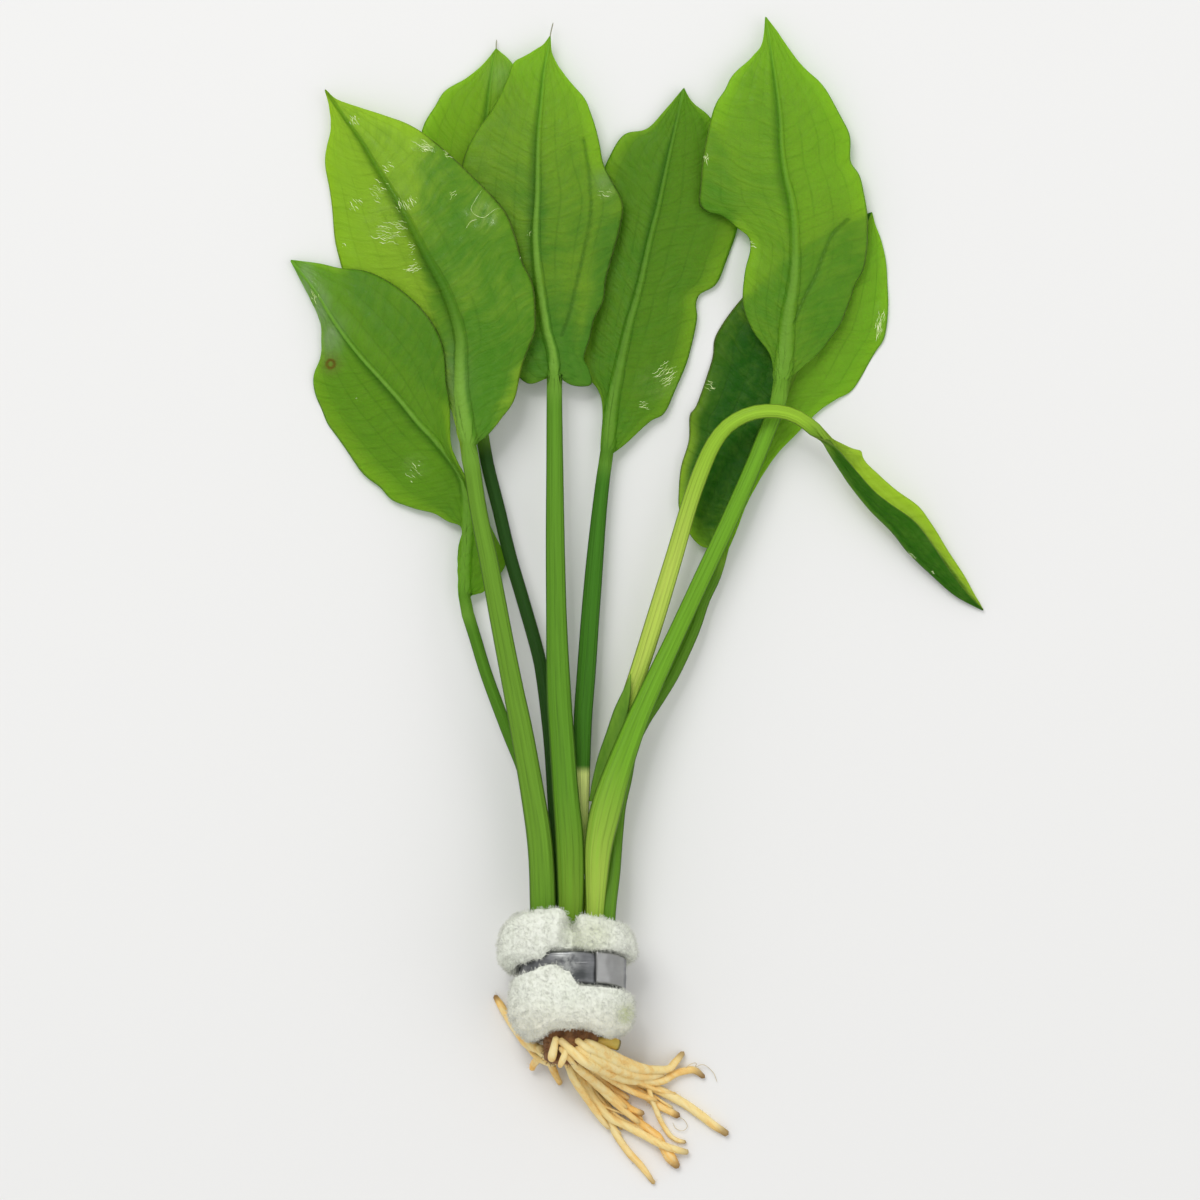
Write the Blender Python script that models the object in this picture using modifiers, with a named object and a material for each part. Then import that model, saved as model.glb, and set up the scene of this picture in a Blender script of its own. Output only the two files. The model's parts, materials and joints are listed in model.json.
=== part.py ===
"""Sword plant lying on a table, its root end wrapped in foam that a soft metal strip holds.

Every position below is in millimetres in the plant's own frame: X to the right and Y towards the
leaf tips as seen from above, Z up from the table. The origin is under the middle of the plant.
"""

import math

import bmesh
import bpy
import numpy as np
from mathutils import Vector

MM = 0.001

# Leaf dimensions
BLADE_THICKNESS = 0.6
STALK_FLATNESS = 0.78
RIB_AT_TIP = 0.7
RIB_REACH_AT_TIP = 0.5
RIB_REACH_LIMIT = 0.4
RING_POINTS = 12
# The rings along a stalk close up towards the blade, most of all on the bent stalk
STALK_RINGS = 12
STALK_CLOSING = 0.9
BENT_STALK_RINGS = 20
BENT_STALK_CLOSING = 0.6
BLADE_SHARES = (0.0, 0.04, 0.09, 0.15, 0.22, 0.30, 0.38, 0.46, 0.54, 0.62, 0.70, 0.78, 0.86, 0.92, 0.97)

# Foam wrap: its hole and its outer lobes are rings about one lying axis
WRAP_AXIS_HEIGHT = 12.6
WRAP_SIDES = 36
WRAP_SQUARENESS = 2.4
WRAP_LEAN = 0.30
SEAM_DEPTH = 3.4
SEAM_RECESS = 2.2
LIP_LEAST = 0.2
FOOT_LIP = 3.8
FOOT_LIP_ANGLES = (math.radians(84), math.radians(205))
MOUTH_LIP = 2.6
MOUTH_LIP_ANGLES = (math.radians(115), math.radians(245))

# Wrap rings as (y, middle x, half width, half height, lean, seam, lip, droop): lean, seam and lip are
# shares, the lip negative on the lobe at the mouth, and droop shifts the ring's right side along y
WRAP_RINGS = [(-76.2, -15.1, 11.2, 5.9, 0.0, 0.0, 0.0, 0.0),
              (-71.2, -15.1, 11.3, 5.9, 0.1, 0.0, 0.0, -1.5),
              (-69.2, -15.3, 11.9, 7.6, 0.2, 0.3, 0.0, -2.8),
              (-68.7, -15.5, 12.5, 9.8, 0.3, 0.8, 0.0, -3.0),
              (-69.9, -15.7, 13.5, 11.6, 0.3, 1.0, 0.0, -2.8),
              (-72.8, -15.8, 14.9, 12.8, 0.5, 1.0, 0.0, -2.0),
              (-76.6, -15.8, 15.6, 13.05, 0.8, 1.0, 0.0, -0.8),
              (-79.0, -15.8, 15.5, 12.9, 1.0, 0.9, -0.6, 0.0),
              (-79.8, -15.4, 13.7, 12.3, 1.0, 0.7, -0.95, 0.0),
              (-79.8, -15.1, 12.1, 11.2, 1.0, 0.0, -1.0, 0.0),
              (-79.8, -15.1, 12.1, 11.2, 1.0, 0.0, 0.0, 0.0),
              (-80.0, -15.1, 10.35, 9.55, 1.0, 0.0, 0.0, 0.0),
              (-88.2, -15.1, 10.35, 9.55, 1.0, 0.0, 0.0, 0.0),
              (-88.2, -15.1, 12.1, 11.3, 1.0, 0.0, 0.0, 0.0),
              (-88.2, -15.1, 12.1, 11.3, 1.0, 0.0, 1.0, 0.0),
              (-88.5, -15.0, 13.3, 12.2, 1.0, 0.0, 0.95, 0.0),
              (-89.8, -14.9, 13.9, 12.9, 0.9, 0.0, 0.4, 0.0),
              (-92.8, -14.9, 14.0, 13.05, 0.6, 0.0, 0.0, 0.0),
              (-95.9, -14.6, 12.8, 12.0, 0.4, 0.0, 0.0, 0.6),
              (-98.0, -14.3, 10.6, 10.0, 0.35, 0.0, 0.0, 1.3),
              (-98.3, -14.8, 8.5, 8.0, 0.35, 0.0, 0.0, 1.3),
              (-96.8, -15.1, 6.9, 6.4, 0.2, 0.0, 0.0, 0.0),
              (-79.4, -15.1, 6.9, 6.4, 0.0, 0.0, 0.0, 0.0)]

# Strip round the wrap's groove, its outer end lapping over its inner end
STRIP_AXIS_X = -15.1
STRIP_Y = -84.0
STRIP_WIDTH = 7.2
STRIP_THICKNESS = 0.8
STRIP_HALF_SIZE = (11.1, 10.3)
STRIP_LAYER = 1.15
STRIP_STATIONS = 40
STRIP_END = math.radians(62)
STRIP_OVERLAP = 0.66
STRIP_RAMP = 0.8

# Crown: a short stem lying in the wrap's hole, its rings as (y, share of the full size)
CROWN_MIDDLE = (-15.1, 12.6)
CROWN_HALF_SIZE = (6.2, 5.6)
CROWN_SIDES = 14
CROWN_RINGS = [(-76.3, 0.70), (-78.6, 0.88), (-82.0, 0.96), (-97.5, 1.0), (-100.6, 0.97),
               (-102.3, 0.90), (-103.0, 0.76)]

# Stub of a cut stalk beside the crown, as (x, y, z, radius)
CUT_STUB = [(-8.0, -98.9, 12.4, 1.05), (-6.2, -99.1, 11.8, 1.2), (-4.1, -99.7, 10.9, 1.15)]

# Pointed sheath beside the bent leaf's stalk, as (x, y, z, width)
SHEATH = [(-10.6, -44.6, 10.3, 0.8), (-9.3, -40.0, 10.2, 1.8), (-7.8, -34.8, 9.9, 2.1),
          (-5.6, -29.5, 9.8, 2.8), (-4.0, -24.6, 9.75, 2.9), (-2.7, -20.2, 9.9, 1.7)]
SHEATH_APEX = (-1.6, -15.8, 10.1)
SHEATH_THICKNESS = 0.6
SHEATH_SIDES = 8

ROOT_POINTS_PER_MM = 0.42
ROOT_BEVEL_RESOLUTION = 2

# Each leaf: stalk rows are (x, y, z, width) from the crown up; midrib, left and right margin rows
# are (x, y, z) from the foot of the blade to its tip. bow lifts the two halves between rib and margin,
# and rib_at_foot is the midrib's thickness where the blade starts.
LEAVES = {
    "leaf_front_left": {
        "stalk": [(-22.0, -75.5, 10.3, 2.6), (-22.5, -68.3, 10.2, 2.6), (-23.1, -57.9, 9.7, 2.6),
                  (-23.8, -46.2, 8.9, 2.6), (-25.8, -37.9, 8.2, 2.6), (-29.5, -28.5, 7.2, 2.7),
                  (-34.0, -16.5, 5.9, 2.7), (-36.7, -7.8, 5.0, 2.7), (-38.7, -1.5, 4.4, 2.8)],
        "midrib": [(-39.2, 1.5, 4.1), (-39.2, 8.4, 3.8), (-38.5, 17.2, 3.9), (-39.0, 25.5, 5.0),
                   (-40.4, 29.8, 5.8), (-45.0, 35.9, 6.8), (-49.1, 40.2, 7.0), (-53.3, 45.3, 6.9),
                   (-57.6, 50.1, 6.6), (-61.9, 54.8, 6.0), (-65.7, 59.5, 5.2), (-69.1, 64.4, 4.2),
                   (-72.9, 70.5, 2.8), (-78.4, 77.4, 1.2)],
        "left": [(-40.4, 1.5, 4.1), (-40.6, 11.8, 3.7), (-39.4, 16.8, 3.4), (-43.2, 18.4, 2.8),
                 (-46.1, 20.1, 2.4), (-50.6, 21.3, 2.0), (-55.4, 23.1, 1.6), (-58.2, 26.0, 1.3),
                 (-62.2, 29.4, 1.0), (-66.8, 35.7, 0.7), (-70.8, 41.4, 0.5), (-73.3, 49.5, 0.4),
                 (-71.8, 55.5, 0.8), (-71.4, 61.5, 1.1), (-72.0, 64.4, 1.2), (-74.0, 68.7, 1.1),
                 (-76.3, 73.2, 1.1), (-78.4, 77.4, 1.2)],
        "right": [(-37.9, 1.5, 4.0), (-36.2, 1.9, 3.0), (-34.4, 2.7, 2.2), (-30.8, 6.9, 1.5),
                  (-29.9, 9.1, 1.3), (-30.8, 12.3, 1.5), (-32.6, 15.9, 2.4), (-35.1, 21.3, 4.5),
                  (-38.2, 27.1, 6.8), (-40.9, 32.3, 8.1), (-42.1, 36.6, 8.6), (-42.3, 44.0, 8.9),
                  (-43.0, 49.6, 9.1), (-43.9, 57.7, 9.0), (-47.5, 64.7, 8.1), (-53.8, 70.7, 6.1),
                  (-60.8, 74.6, 4.0), (-67.3, 75.5, 2.8), (-72.0, 76.6, 2.0), (-78.4, 77.4, 1.2)],
        "bow": (0.4, -0.2),
        "rib_at_foot": 2.0,
    },
    "leaf_large_left": {
        "stalk": [(-21.2, -75.5, 15.2, 5.1), (-21.3, -68.3, 15.2, 5.7), (-21.6, -59.1, 14.9, 5.6),
                  (-22.3, -51.2, 14.4, 5.5), (-24.1, -39.9, 13.8, 5.2), (-26.1, -28.7, 13.2, 5.0),
                  (-27.9, -19.7, 12.8, 4.6), (-29.9, -9.6, 12.4, 4.4), (-31.7, -0.1, 12.0, 4.3),
                  (-33.5, 9.6, 11.7, 4.1), (-35.8, 20.8, 11.3, 3.8), (-37.2, 30.0, 11.0, 3.8),
                  (-38.0, 34.0, 10.9, 4.0)],
        "midrib": [(-38.2, 35.5, 10.8), (-38.9, 41.3, 10.7), (-39.7, 47.6, 10.5), (-39.8, 54.8, 10.4),
                   (-40.0, 60.4, 10.4), (-42.7, 69.0, 10.1), (-47.5, 78.0, 9.2), (-53.1, 88.8, 7.8),
                   (-58.7, 98.0, 6.2), (-62.1, 103.8, 5.2), (-66.5, 109.9, 4.0), (-70.6, 115.8, 2.6)],
        "left": [(-40.0, 35.5, 10.8), (-40.6, 38.0, 10.0), (-41.2, 40.6, 8.9), (-42.0, 43.2, 7.7),
                 (-44.2, 45.4, 6.4), (-47.9, 47.9, 5.2),
                 (-53.5, 52.8, 3.8), (-59.8, 60.2, 2.2), (-64.4, 68.1, 1.2), (-66.8, 75.4, 0.7),
                 (-68.6, 82.5, 0.5), (-69.3, 90.8, 0.6), (-70.6, 100.0, 1.0), (-69.4, 106.6, 1.7),
                 (-69.6, 111.7, 2.2), (-70.6, 115.8, 2.6)],
        "right": [(-36.4, 35.5, 10.8), (-33.5, 37.7, 10.6), (-30.6, 41.3, 10.3), (-27.7, 45.6, 10.0),
                  (-25.9, 53.2, 9.8), (-23.4, 59.9, 9.8), (-23.0, 62.5, 9.8), (-23.4, 70.8, 9.6),
                  (-25.9, 76.6, 9.3), (-27.7, 82.9, 9.0), (-30.4, 88.7, 8.4), (-38.3, 96.9, 7.3),
                  (-45.9, 103.8, 6.4), (-51.8, 107.7, 5.7), (-60.8, 111.0, 4.3), (-67.7, 113.3, 3.2),
                  (-70.6, 115.8, 2.6)],
        "bow": (-0.9, 0.5),
        "rib_at_foot": 3.0,
    },
    "leaf_back_left": {
        "stalk": [(-18.7, -75.5, 10.4, 2.9), (-18.4, -68.3, 10.3, 2.9), (-18.4, -55.7, 9.6, 2.9),
                  (-18.9, -44.4, 8.6, 2.9), (-19.8, -30.9, 7.4, 2.9), (-21.4, -17.4, 6.4, 2.9),
                  (-22.7, -10.7, 5.9, 2.9), (-26.0, 0.9, 5.0, 2.9), (-28.9, 10.7, 4.3, 2.9),
                  (-31.5, 21.5, 3.7, 2.9), (-33.8, 30.5, 3.1, 2.9), (-35.3, 38.8, 2.7, 2.9)],
        "midrib": [(-35.8, 42.9, 2.5), (-36.7, 52.3, 2.2), (-36.7, 65.8, 1.9), (-35.8, 81.6, 1.8),
                   (-34.9, 97.3, 1.8), (-33.8, 112.2, 1.7), (-32.9, 120.7, 1.4), (-32.0, 125.2, 1.0)],
        "left": [(-37.2, 42.9, 2.4), (-41.2, 48.9, 1.6), (-45.0, 59.1, 1.0), (-47.7, 70.3, 0.8),
                 (-49.5, 81.6, 0.8), (-49.8, 96.0, 0.8), (-48.8, 106.5, 0.8), (-45.7, 112.4, 0.9),
                 (-43.4, 115.8, 0.9), (-38.5, 118.7, 1.0), (-34.7, 121.9, 1.0), (-32.0, 125.2, 1.0)],
        "right": [(-34.4, 42.9, 2.4), (-29.9, 47.8, 1.5), (-25.4, 57.9, 0.9), (-22.5, 70.3, 0.6),
                  (-21.2, 83.8, 0.6), (-21.4, 97.3, 0.7), (-23.4, 108.6, 0.9), (-25.9, 116.4, 1.0),
                  (-28.5, 122.0, 1.0), (-32.0, 125.2, 1.0)],
        "bow": (0.0, 0.0),
        "rib_at_foot": 2.1,
    },
    "leaf_centre": {
        "stalk": [(-15.4, -75.5, 15.2, 5.2), (-15.1, -68.1, 15.2, 5.6), (-15.1, -60.2, 14.9, 6.1),
                  (-15.5, -51.2, 14.2, 6.2), (-16.3, -42.2, 13.3, 5.8), (-17.1, -30.9, 12.2, 5.6),
                  (-17.8, -19.7, 11.2, 5.4), (-18.3, -3.9, 9.8, 4.6), (-18.6, 14.1, 8.5, 4.2),
                  (-18.7, 29.8, 7.7, 3.8), (-18.8, 43.3, 7.1, 3.5), (-18.8, 50.0, 6.9, 3.4)],
        "midrib": [(-18.8, 51.4, 6.9), (-19.0, 56.8, 6.9), (-20.3, 61.8, 6.9), (-21.6, 69.0, 7.0),
                   (-22.6, 76.2, 7.0), (-23.0, 83.6, 6.9), (-22.6, 91.7, 6.6), (-22.5, 99.6, 6.2),
                   (-22.3, 105.9, 5.8), (-21.8, 111.5, 5.3), (-21.2, 118.5, 4.5), (-20.5, 123.5, 3.8),
                   (-19.8, 127.8, 3.0)],
        "left": [(-20.4, 51.2, 6.8), (-25.7, 53.4, 5.6), (-31.1, 56.8, 4.6), (-37.8, 65.8, 3.8),
                 (-40.7, 76.6, 3.5), (-41.0, 89.4, 3.4), (-39.4, 99.6, 3.4), (-36.5, 106.1, 3.5),
                 (-32.2, 112.4, 3.6), (-29.3, 118.5, 3.7), (-28.0, 121.8, 3.6), (-25.6, 123.2, 3.5),
                 (-21.6, 125.6, 3.2), (-19.8, 127.8, 3.0)],
        "right": [(-17.2, 51.2, 6.8), (-12.6, 54.6, 5.9), (-10.4, 59.5, 5.4), (-9.9, 63.8, 5.2),
                  (-7.8, 67.8, 4.9), (-7.2, 72.6, 4.8), (-6.1, 76.6, 4.6), (-3.6, 87.0, 4.3),
                  (-4.1, 91.7, 4.2), (-7.5, 98.2, 4.4), (-8.7, 103.5, 4.5), (-10.4, 109.7, 4.5),
                  (-12.2, 114.0, 4.5), (-16.2, 118.5, 4.3), (-19.2, 123.2, 3.6), (-19.8, 127.8, 3.0)],
        "bow": (0.2, 0.7),
        "rib_at_foot": 2.6,
    },
    "leaf_centre_right": {
        "stalk": [(-15.1, -75.5, 10.4, 3.1), (-14.5, -68.3, 10.3, 3.1), (-13.4, -57.9, 9.4, 3.1),
                  (-12.7, -46.7, 8.5, 3.3), (-12.6, -36.6, 7.7, 3.7), (-12.4, -26.4, 7.0, 4.1),
                  (-11.6, -15.2, 6.2, 4.2), (-10.8, -3.9, 5.5, 4.1), (-9.9, 7.3, 4.9, 3.9),
                  (-8.9, 18.6, 4.4, 3.4), (-7.9, 27.6, 4.0, 3.1), (-7.1, 33.0, 3.8, 3.0)],
        "midrib": [(-7.0, 34.0, 3.7), (-5.9, 43.8, 3.4), (-4.1, 53.2, 3.2), (-2.0, 62.7, 3.2),
                   (0.2, 70.5, 3.2), (2.9, 82.7, 3.1), (4.5, 89.0, 3.0), (5.9, 95.5, 2.9),
                   (7.4, 102.5, 2.7), (9.2, 110.4, 2.3), (10.4, 116.2, 1.8)],
        "left": [(-8.4, 34.2, 3.6), (-8.0, 43.3, 2.9), (-9.0, 48.0, 2.4), (-12.2, 51.9, 1.9),
                 (-12.8, 55.7, 1.6), (-12.4, 61.3, 1.3), (-11.3, 69.2, 1.1), (-10.1, 79.3, 1.0),
                 (-9.2, 88.3, 1.0), (-8.3, 95.1, 1.0), (-6.8, 100.0, 1.1), (-3.2, 105.6, 1.2),
                 (2.0, 107.1, 1.4), (5.9, 111.0, 1.6), (10.4, 116.2, 1.8)],
        "right": [(-5.6, 33.6, 3.6), (-2.7, 35.8, 3.1), (2.7, 40.8, 2.3), (5.9, 42.6, 2.0),
                  (8.3, 47.5, 1.7), (11.5, 55.4, 1.4), (13.3, 63.8, 1.2), (13.1, 67.1, 1.2),
                  (14.0, 69.6, 1.2), (17.6, 71.8, 1.1), (19.7, 76.4, 1.0), (22.6, 84.9, 1.0),
                  (22.5, 91.7, 1.0), (21.4, 98.4, 1.1), (19.4, 104.5, 1.2), (16.2, 109.7, 1.4),
                  (12.2, 113.1, 1.6), (10.4, 116.2, 1.8)],
        "bow": (0.0, 0.1),
        "rib_at_foot": 2.2,
    },
    "leaf_tall_right": {
        "stalk": [(-10.2, -75.5, 15.2, 3.4), (-9.8, -68.3, 15.2, 3.5), (-9.5, -62.4, 14.9, 4.4),
                  (-8.7, -54.6, 14.1, 5.9), (-6.5, -46.2, 13.2, 6.2), (-3.6, -36.6, 12.2, 5.8),
                  (-0.5, -26.9, 11.3, 5.0), (2.7, -19.7, 10.6, 4.5), (8.8, -6.6, 9.5, 3.9),
                  (14.4, 5.5, 8.6, 3.8), (20.0, 17.4, 8.0, 3.8), (25.9, 30.7, 7.4, 3.7),
                  (29.0, 38.4, 7.1, 3.7), (31.3, 44.2, 6.9, 3.6), (32.1, 48.6, 6.8, 3.7)],
        "midrib": [(32.3, 50.0, 6.8), (33.1, 56.8, 6.8), (33.8, 64.9, 6.8), (34.9, 71.2, 6.9),
                   (35.3, 77.5, 6.9), (35.1, 85.4, 6.8), (34.4, 91.0, 6.6), (33.3, 95.7, 6.4),
                   (32.4, 101.8, 6.0), (32.0, 109.7, 5.4), (31.1, 117.1, 4.6), (29.9, 125.4, 3.6),
                   (28.8, 132.2, 2.6)],
        "left": [(30.6, 50.0, 6.7), (29.7, 55.7, 6.0), (25.9, 61.1, 5.2), (23.6, 67.0, 4.7),
                 (24.1, 74.4, 4.7), (25.2, 79.1, 4.8), (24.9, 82.2, 4.8), (22.4, 84.3, 4.6),
                 (18.9, 87.0, 4.3), (15.3, 88.1, 4.1), (13.7, 90.1, 4.0), (14.0, 93.5, 4.0),
                 (14.9, 101.8, 4.0), (17.1, 111.3, 4.0), (19.6, 115.5, 4.0), (21.4, 118.9, 3.9),
                 (25.4, 122.7, 3.6), (28.0, 126.0, 3.1), (28.8, 132.2, 2.6)],
        "right": [(34.0, 50.2, 6.7), (36.9, 52.8, 5.9), (41.0, 56.4, 5.2), (45.1, 61.8, 4.7),
                  (47.3, 66.7, 4.4), (49.3, 71.8, 4.1), (51.4, 76.6, 3.9), (51.8, 86.1, 3.7),
                  (50.2, 95.5, 3.6), (48.0, 99.5, 3.6), (47.8, 105.4, 3.7), (45.0, 110.8, 3.8),
                  (41.9, 116.2, 3.8), (38.3, 119.8, 3.7), (35.3, 123.2, 3.5), (31.3, 129.0, 2.9),
                  (28.8, 132.2, 2.6)],
        "bow": (0.3, 0.5),
        "rib_at_foot": 2.8,
    },
    "leaf_back_right": {
        "stalk": [(-6.5, -75.5, 15.2, 2.2), (-6.2, -68.3, 15.0, 2.3), (-5.6, -60.2, 12.2, 2.7),
                  (-5.4, -53.0, 10.2, 2.9), (-4.5, -45.6, 9.0, 3.0), (-3.2, -39.5, 8.2, 3.0),
                  (-1.0, -32.4, 7.4, 3.1), (1.8, -26.6, 6.8, 3.1), (5.2, -21.7, 6.4, 3.2),
                  (8.0, -15.5, 5.9, 3.2), (12.2, -6.4, 5.1, 3.2), (14.6, 0.6, 4.5, 3.2),
                  (16.9, 5.5, 4.0, 3.2), (18.5, 10.5, 3.6, 3.2)],
        "midrib": [(18.9, 12.3, 3.5), (20.3, 17.0, 3.2), (23.2, 24.2, 3.0), (25.9, 30.9, 2.8),
                   (29.7, 39.9, 2.6), (34.2, 50.1, 2.4), (39.8, 62.4, 2.2), (45.0, 72.6, 2.0),
                   (49.5, 80.9, 1.6), (52.9, 88.2, 1.0)],
        "left": [(17.4, 12.3, 3.4), (14.4, 12.6, 3.0), (11.7, 15.4, 2.4), (9.4, 20.7, 1.8),
                 (9.2, 24.9, 1.5), (9.7, 30.5, 1.2), (11.5, 36.6, 0.9), (11.7, 42.2, 0.8),
                 (13.4, 44.9, 0.7), (16.7, 54.8, 0.6), (17.6, 60.4, 0.6), (22.9, 68.1, 0.7),
                 (27.9, 72.6, 0.8), (34.7, 78.2, 0.9), (42.1, 83.4, 0.9), (48.2, 86.5, 0.9),
                 (52.9, 88.2, 1.0)],
        "right": [(20.4, 12.3, 3.4), (21.6, 14.6, 3.2), (22.6, 17.0, 2.9), (25.2, 23.5, 2.4),
                  (30.8, 32.7, 1.7), (36.5, 38.7, 1.2), (40.7, 43.1, 0.9), (44.8, 45.9, 0.7),
                  (48.8, 48.3, 0.5), (53.6, 56.4, 0.3), (55.8, 60.2, 0.3), (56.5, 67.1, 0.3),
                  (56.2, 75.8, 0.5), (55.2, 81.3, 0.7), (53.6, 85.6, 0.9), (52.9, 88.2, 1.0)],
        "bow": (0.1, 0.1),
        "rib_at_foot": 2.4,
    },
    "leaf_bent": {
        "stalk": [(-11.1, -75.5, 10.4, 3.1), (-10.8, -68.3, 10.3, 3.1), (-10.3, -60.2, 10.0, 3.1),
                  (-9.2, -53.0, 9.4, 3.2), (-8.0, -45.6, 8.7, 3.2), (-6.8, -39.5, 8.3, 3.4),
                  (-5.2, -32.1, 7.8, 3.5), (-3.2, -25.3, 7.6, 3.6), (-1.1, -19.0, 7.6, 3.8),
                  (0.7, -13.8, 7.8, 4.0), (4.1, -3.0, 8.1, 4.1), (8.3, 10.9, 8.6, 3.9),
                  (11.3, 21.3, 9.2, 3.7), (14.0, 29.1, 9.9, 3.7), (16.7, 35.2, 10.6, 3.5),
                  (20.0, 39.5, 11.2, 3.3), (24.8, 42.2, 11.8, 3.2), (29.9, 42.9, 12.0, 3.1),
                  (34.7, 42.0, 11.8, 3.1), (38.7, 39.5, 11.2, 3.2), (41.2, 37.0, 10.7, 3.2)],
        "midrib": [(42.2, 35.6, 10.4), (44.4, 31.9, 9.5), (47.2, 27.6, 8.4), (52.2, 21.3, 6.7),
                   (57.4, 16.1, 5.3), (61.2, 11.4, 4.1), (66.4, 6.4, 2.9), (71.8, 1.7, 1.7),
                   (78.1, -1.7, 0.7)],
        "left": [(43.4, 36.8, 10.2), (47.7, 34.8, 9.0), (49.9, 33.0, 8.4), (53.4, 29.4, 7.2),
                 (58.1, 25.3, 5.6), (63.2, 21.7, 4.2), (66.2, 17.8, 3.2), (70.1, 11.5, 2.0),
                 (73.6, 6.3, 1.2), (76.1, 1.9, 0.7), (78.1, -1.7, 0.7)],
        "right": [(42.6, 36.0, 11.6), (44.9, 34.0, 11.9), (48.6, 29.8, 11.2), (52.7, 25.3, 10.0),
                  (56.3, 22.4, 8.9), (62.1, 18.3, 7.2), (66.2, 13.2, 5.7), (70.1, 7.5, 4.0),
                  (74.0, 2.4, 2.4), (78.1, -1.7, 0.7)],
        "bow": (0.0, 0.6),
        "rib_at_foot": 1.5,
    },
}

# Roots as (x, y, z, radius) from the crown outwards
ROOTS = {
    "root_left_long": [(-21.8, -100.0, 10.6, 0.70), (-23.2, -100.2, 7.6, 0.70), (-25.0, -99.6, 4.8, 0.72),
                       (-26.8, -97.6, 3.0, 0.72), (-28.6, -95.0, 2.0, 0.75), (-30.6, -91.6, 1.3, 0.80),
                       (-32.4, -88.7, 0.8, 0.50)],
    "root_left_middle": [(-20.2, -100.6, 8.4, 0.75), (-20.7, -102.0, 6.4, 0.80), (-19.7, -103.6, 4.4, 0.80),
                         (-18.9, -105.8, 2.6, 0.75), (-17.4, -109.0, 0.8, 0.50)],
    "root_left_short": [(-22.2, -102.8, 4.4, 0.65), (-23.4, -103.9, 3.1, 0.75), (-24.0, -105.6, 1.7, 0.60)],
    "root_loop_left": [(-18.8, -99.0, 18.5, 0.75), (-19.1, -100.6, 18.3, 0.85), (-19.4, -102.2, 17.2, 0.75)],
    "root_loop_right": [(-16.6, -101.2, 18.8, 0.60), (-17.0, -102.2, 18.6, 0.65), (-17.6, -103.6, 17.5, 0.50)],
    "root_upper": [(-16.4, -99.1, 19.1, 0.75), (-14.2, -100.3, 19.2, 0.85), (-11.5, -102.5, 18.2, 0.90),
                   (-7.9, -104.7, 12.5, 0.90), (-3.2, -107.0, 6.8, 0.95), (1.4, -107.9, 3.3, 0.95),
                   (5.4, -107.9, 2.2, 0.90), (8.3, -106.5, 1.5, 0.80), (12.4, -105.6, 1.0, 0.80),
                   (15.1, -107.4, 0.8, 0.50)],
    "root_upper_right": [(-12.4, -99.1, 18.7, 0.70), (-11.4, -99.5, 18.4, 0.75), (-9.2, -100.3, 16.4, 0.80),
                         (-5.5, -102.5, 12.5, 0.85), (-0.9, -104.7, 8.0, 0.85), (3.6, -105.2, 4.6, 0.85),
                         (6.8, -105.2, 3.2, 0.80), (8.6, -103.6, 2.0, 0.75), (10.4, -101.5, 0.9, 0.55)],
    "root_far_right": [(-10.4, -104.0, 12.1, 0.80), (-8.2, -104.7, 9.2, 0.90), (-5.8, -105.7, 6.0, 0.95),
                       (-3.0, -106.9, 2.9, 0.95), (2.8, -109.3, 1.0, 0.95), (9.0, -112.3, 0.9, 0.90),
                       (13.8, -115.5, 0.9, 0.90), (16.7, -117.8, 0.9, 0.85), (20.5, -120.3, 0.9, 0.75)],
    "root_middle_right": [(-10.8, -103.9, 9.4, 0.75), (-8.9, -105.4, 6.4, 0.80), (-6.1, -107.2, 3.2, 0.80),
                          (-2.2, -109.4, 1.2, 0.80), (0.9, -110.8, 0.85, 0.80), (3.2, -112.6, 0.85, 0.80),
                          (4.7, -113.7, 0.85, 0.80), (9.5, -116.2, 0.8, 0.70)],
    "root_branch": [(2.5, -109.7, 2.6, 0.45), (3.2, -112.3, 2.5, 0.45), (4.6, -115.8, 1.6, 0.50),
                    (5.8, -118.2, 0.9, 0.50), (7.2, -120.3, 0.7, 0.50), (8.8, -121.5, 0.7, 0.45),
                    (11.0, -122.0, 0.6, 0.45)],
    "root_short_middle": [(-13.2, -103.9, 10.0, 0.70), (-11.4, -106.4, 6.6, 0.75), (-9.8, -108.4, 4.3, 0.75),
                          (-8.3, -109.6, 3.4, 0.75),
                          (-4.8, -111.7, 2.8, 0.75), (-2.0, -114.0, 2.8, 0.75), (1.5, -115.5, 2.0, 0.60)],
    "root_pale": [(-15.4, -103.9, 10.8, 0.75), (-13.8, -106.3, 7.6, 0.80), (-12.2, -108.6, 4.9, 0.80),
                  (-9.7, -112.2, 2.9, 0.80), (-6.5, -116.0, 2.7, 0.80), (-2.5, -118.2, 2.0, 0.80),
                  (1.5, -120.3, 2.3, 0.80), (5.0, -122.1, 3.1, 0.75), (8.3, -123.4, 2.3, 0.75),
                  (11.5, -124.3, 0.9, 0.60)],
    "root_stout": [(-12.6, -103.9, 7.0, 0.80), (-10.6, -106.2, 4.0, 0.80), (-8.6, -108.8, 1.4, 0.80),
                   (-3.6, -112.6, 0.85, 0.80), (-0.9, -116.4, 0.85, 0.80), (2.5, -119.1, 0.85, 0.80),
                   (4.5, -120.7, 0.9, 0.85), (5.9, -123.2, 1.0, 0.95), (7.4, -125.4, 1.25, 1.20),
                   (9.2, -127.8, 0.8, 0.60)],
    "root_lower": [(-15.4, -103.9, 7.2, 0.75), (-14.2, -106.0, 3.8, 0.80), (-12.8, -107.9, 1.5, 0.80),
                   (-10.6, -111.2, 0.8, 0.75), (-6.5, -116.9, 0.8, 0.75), (-4.8, -120.3, 0.8, 0.75),
                   (-2.0, -124.3, 0.8, 0.75), (0.9, -127.5, 0.8, 0.70), (3.8, -131.5, 0.6, 0.45)],
}

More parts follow.
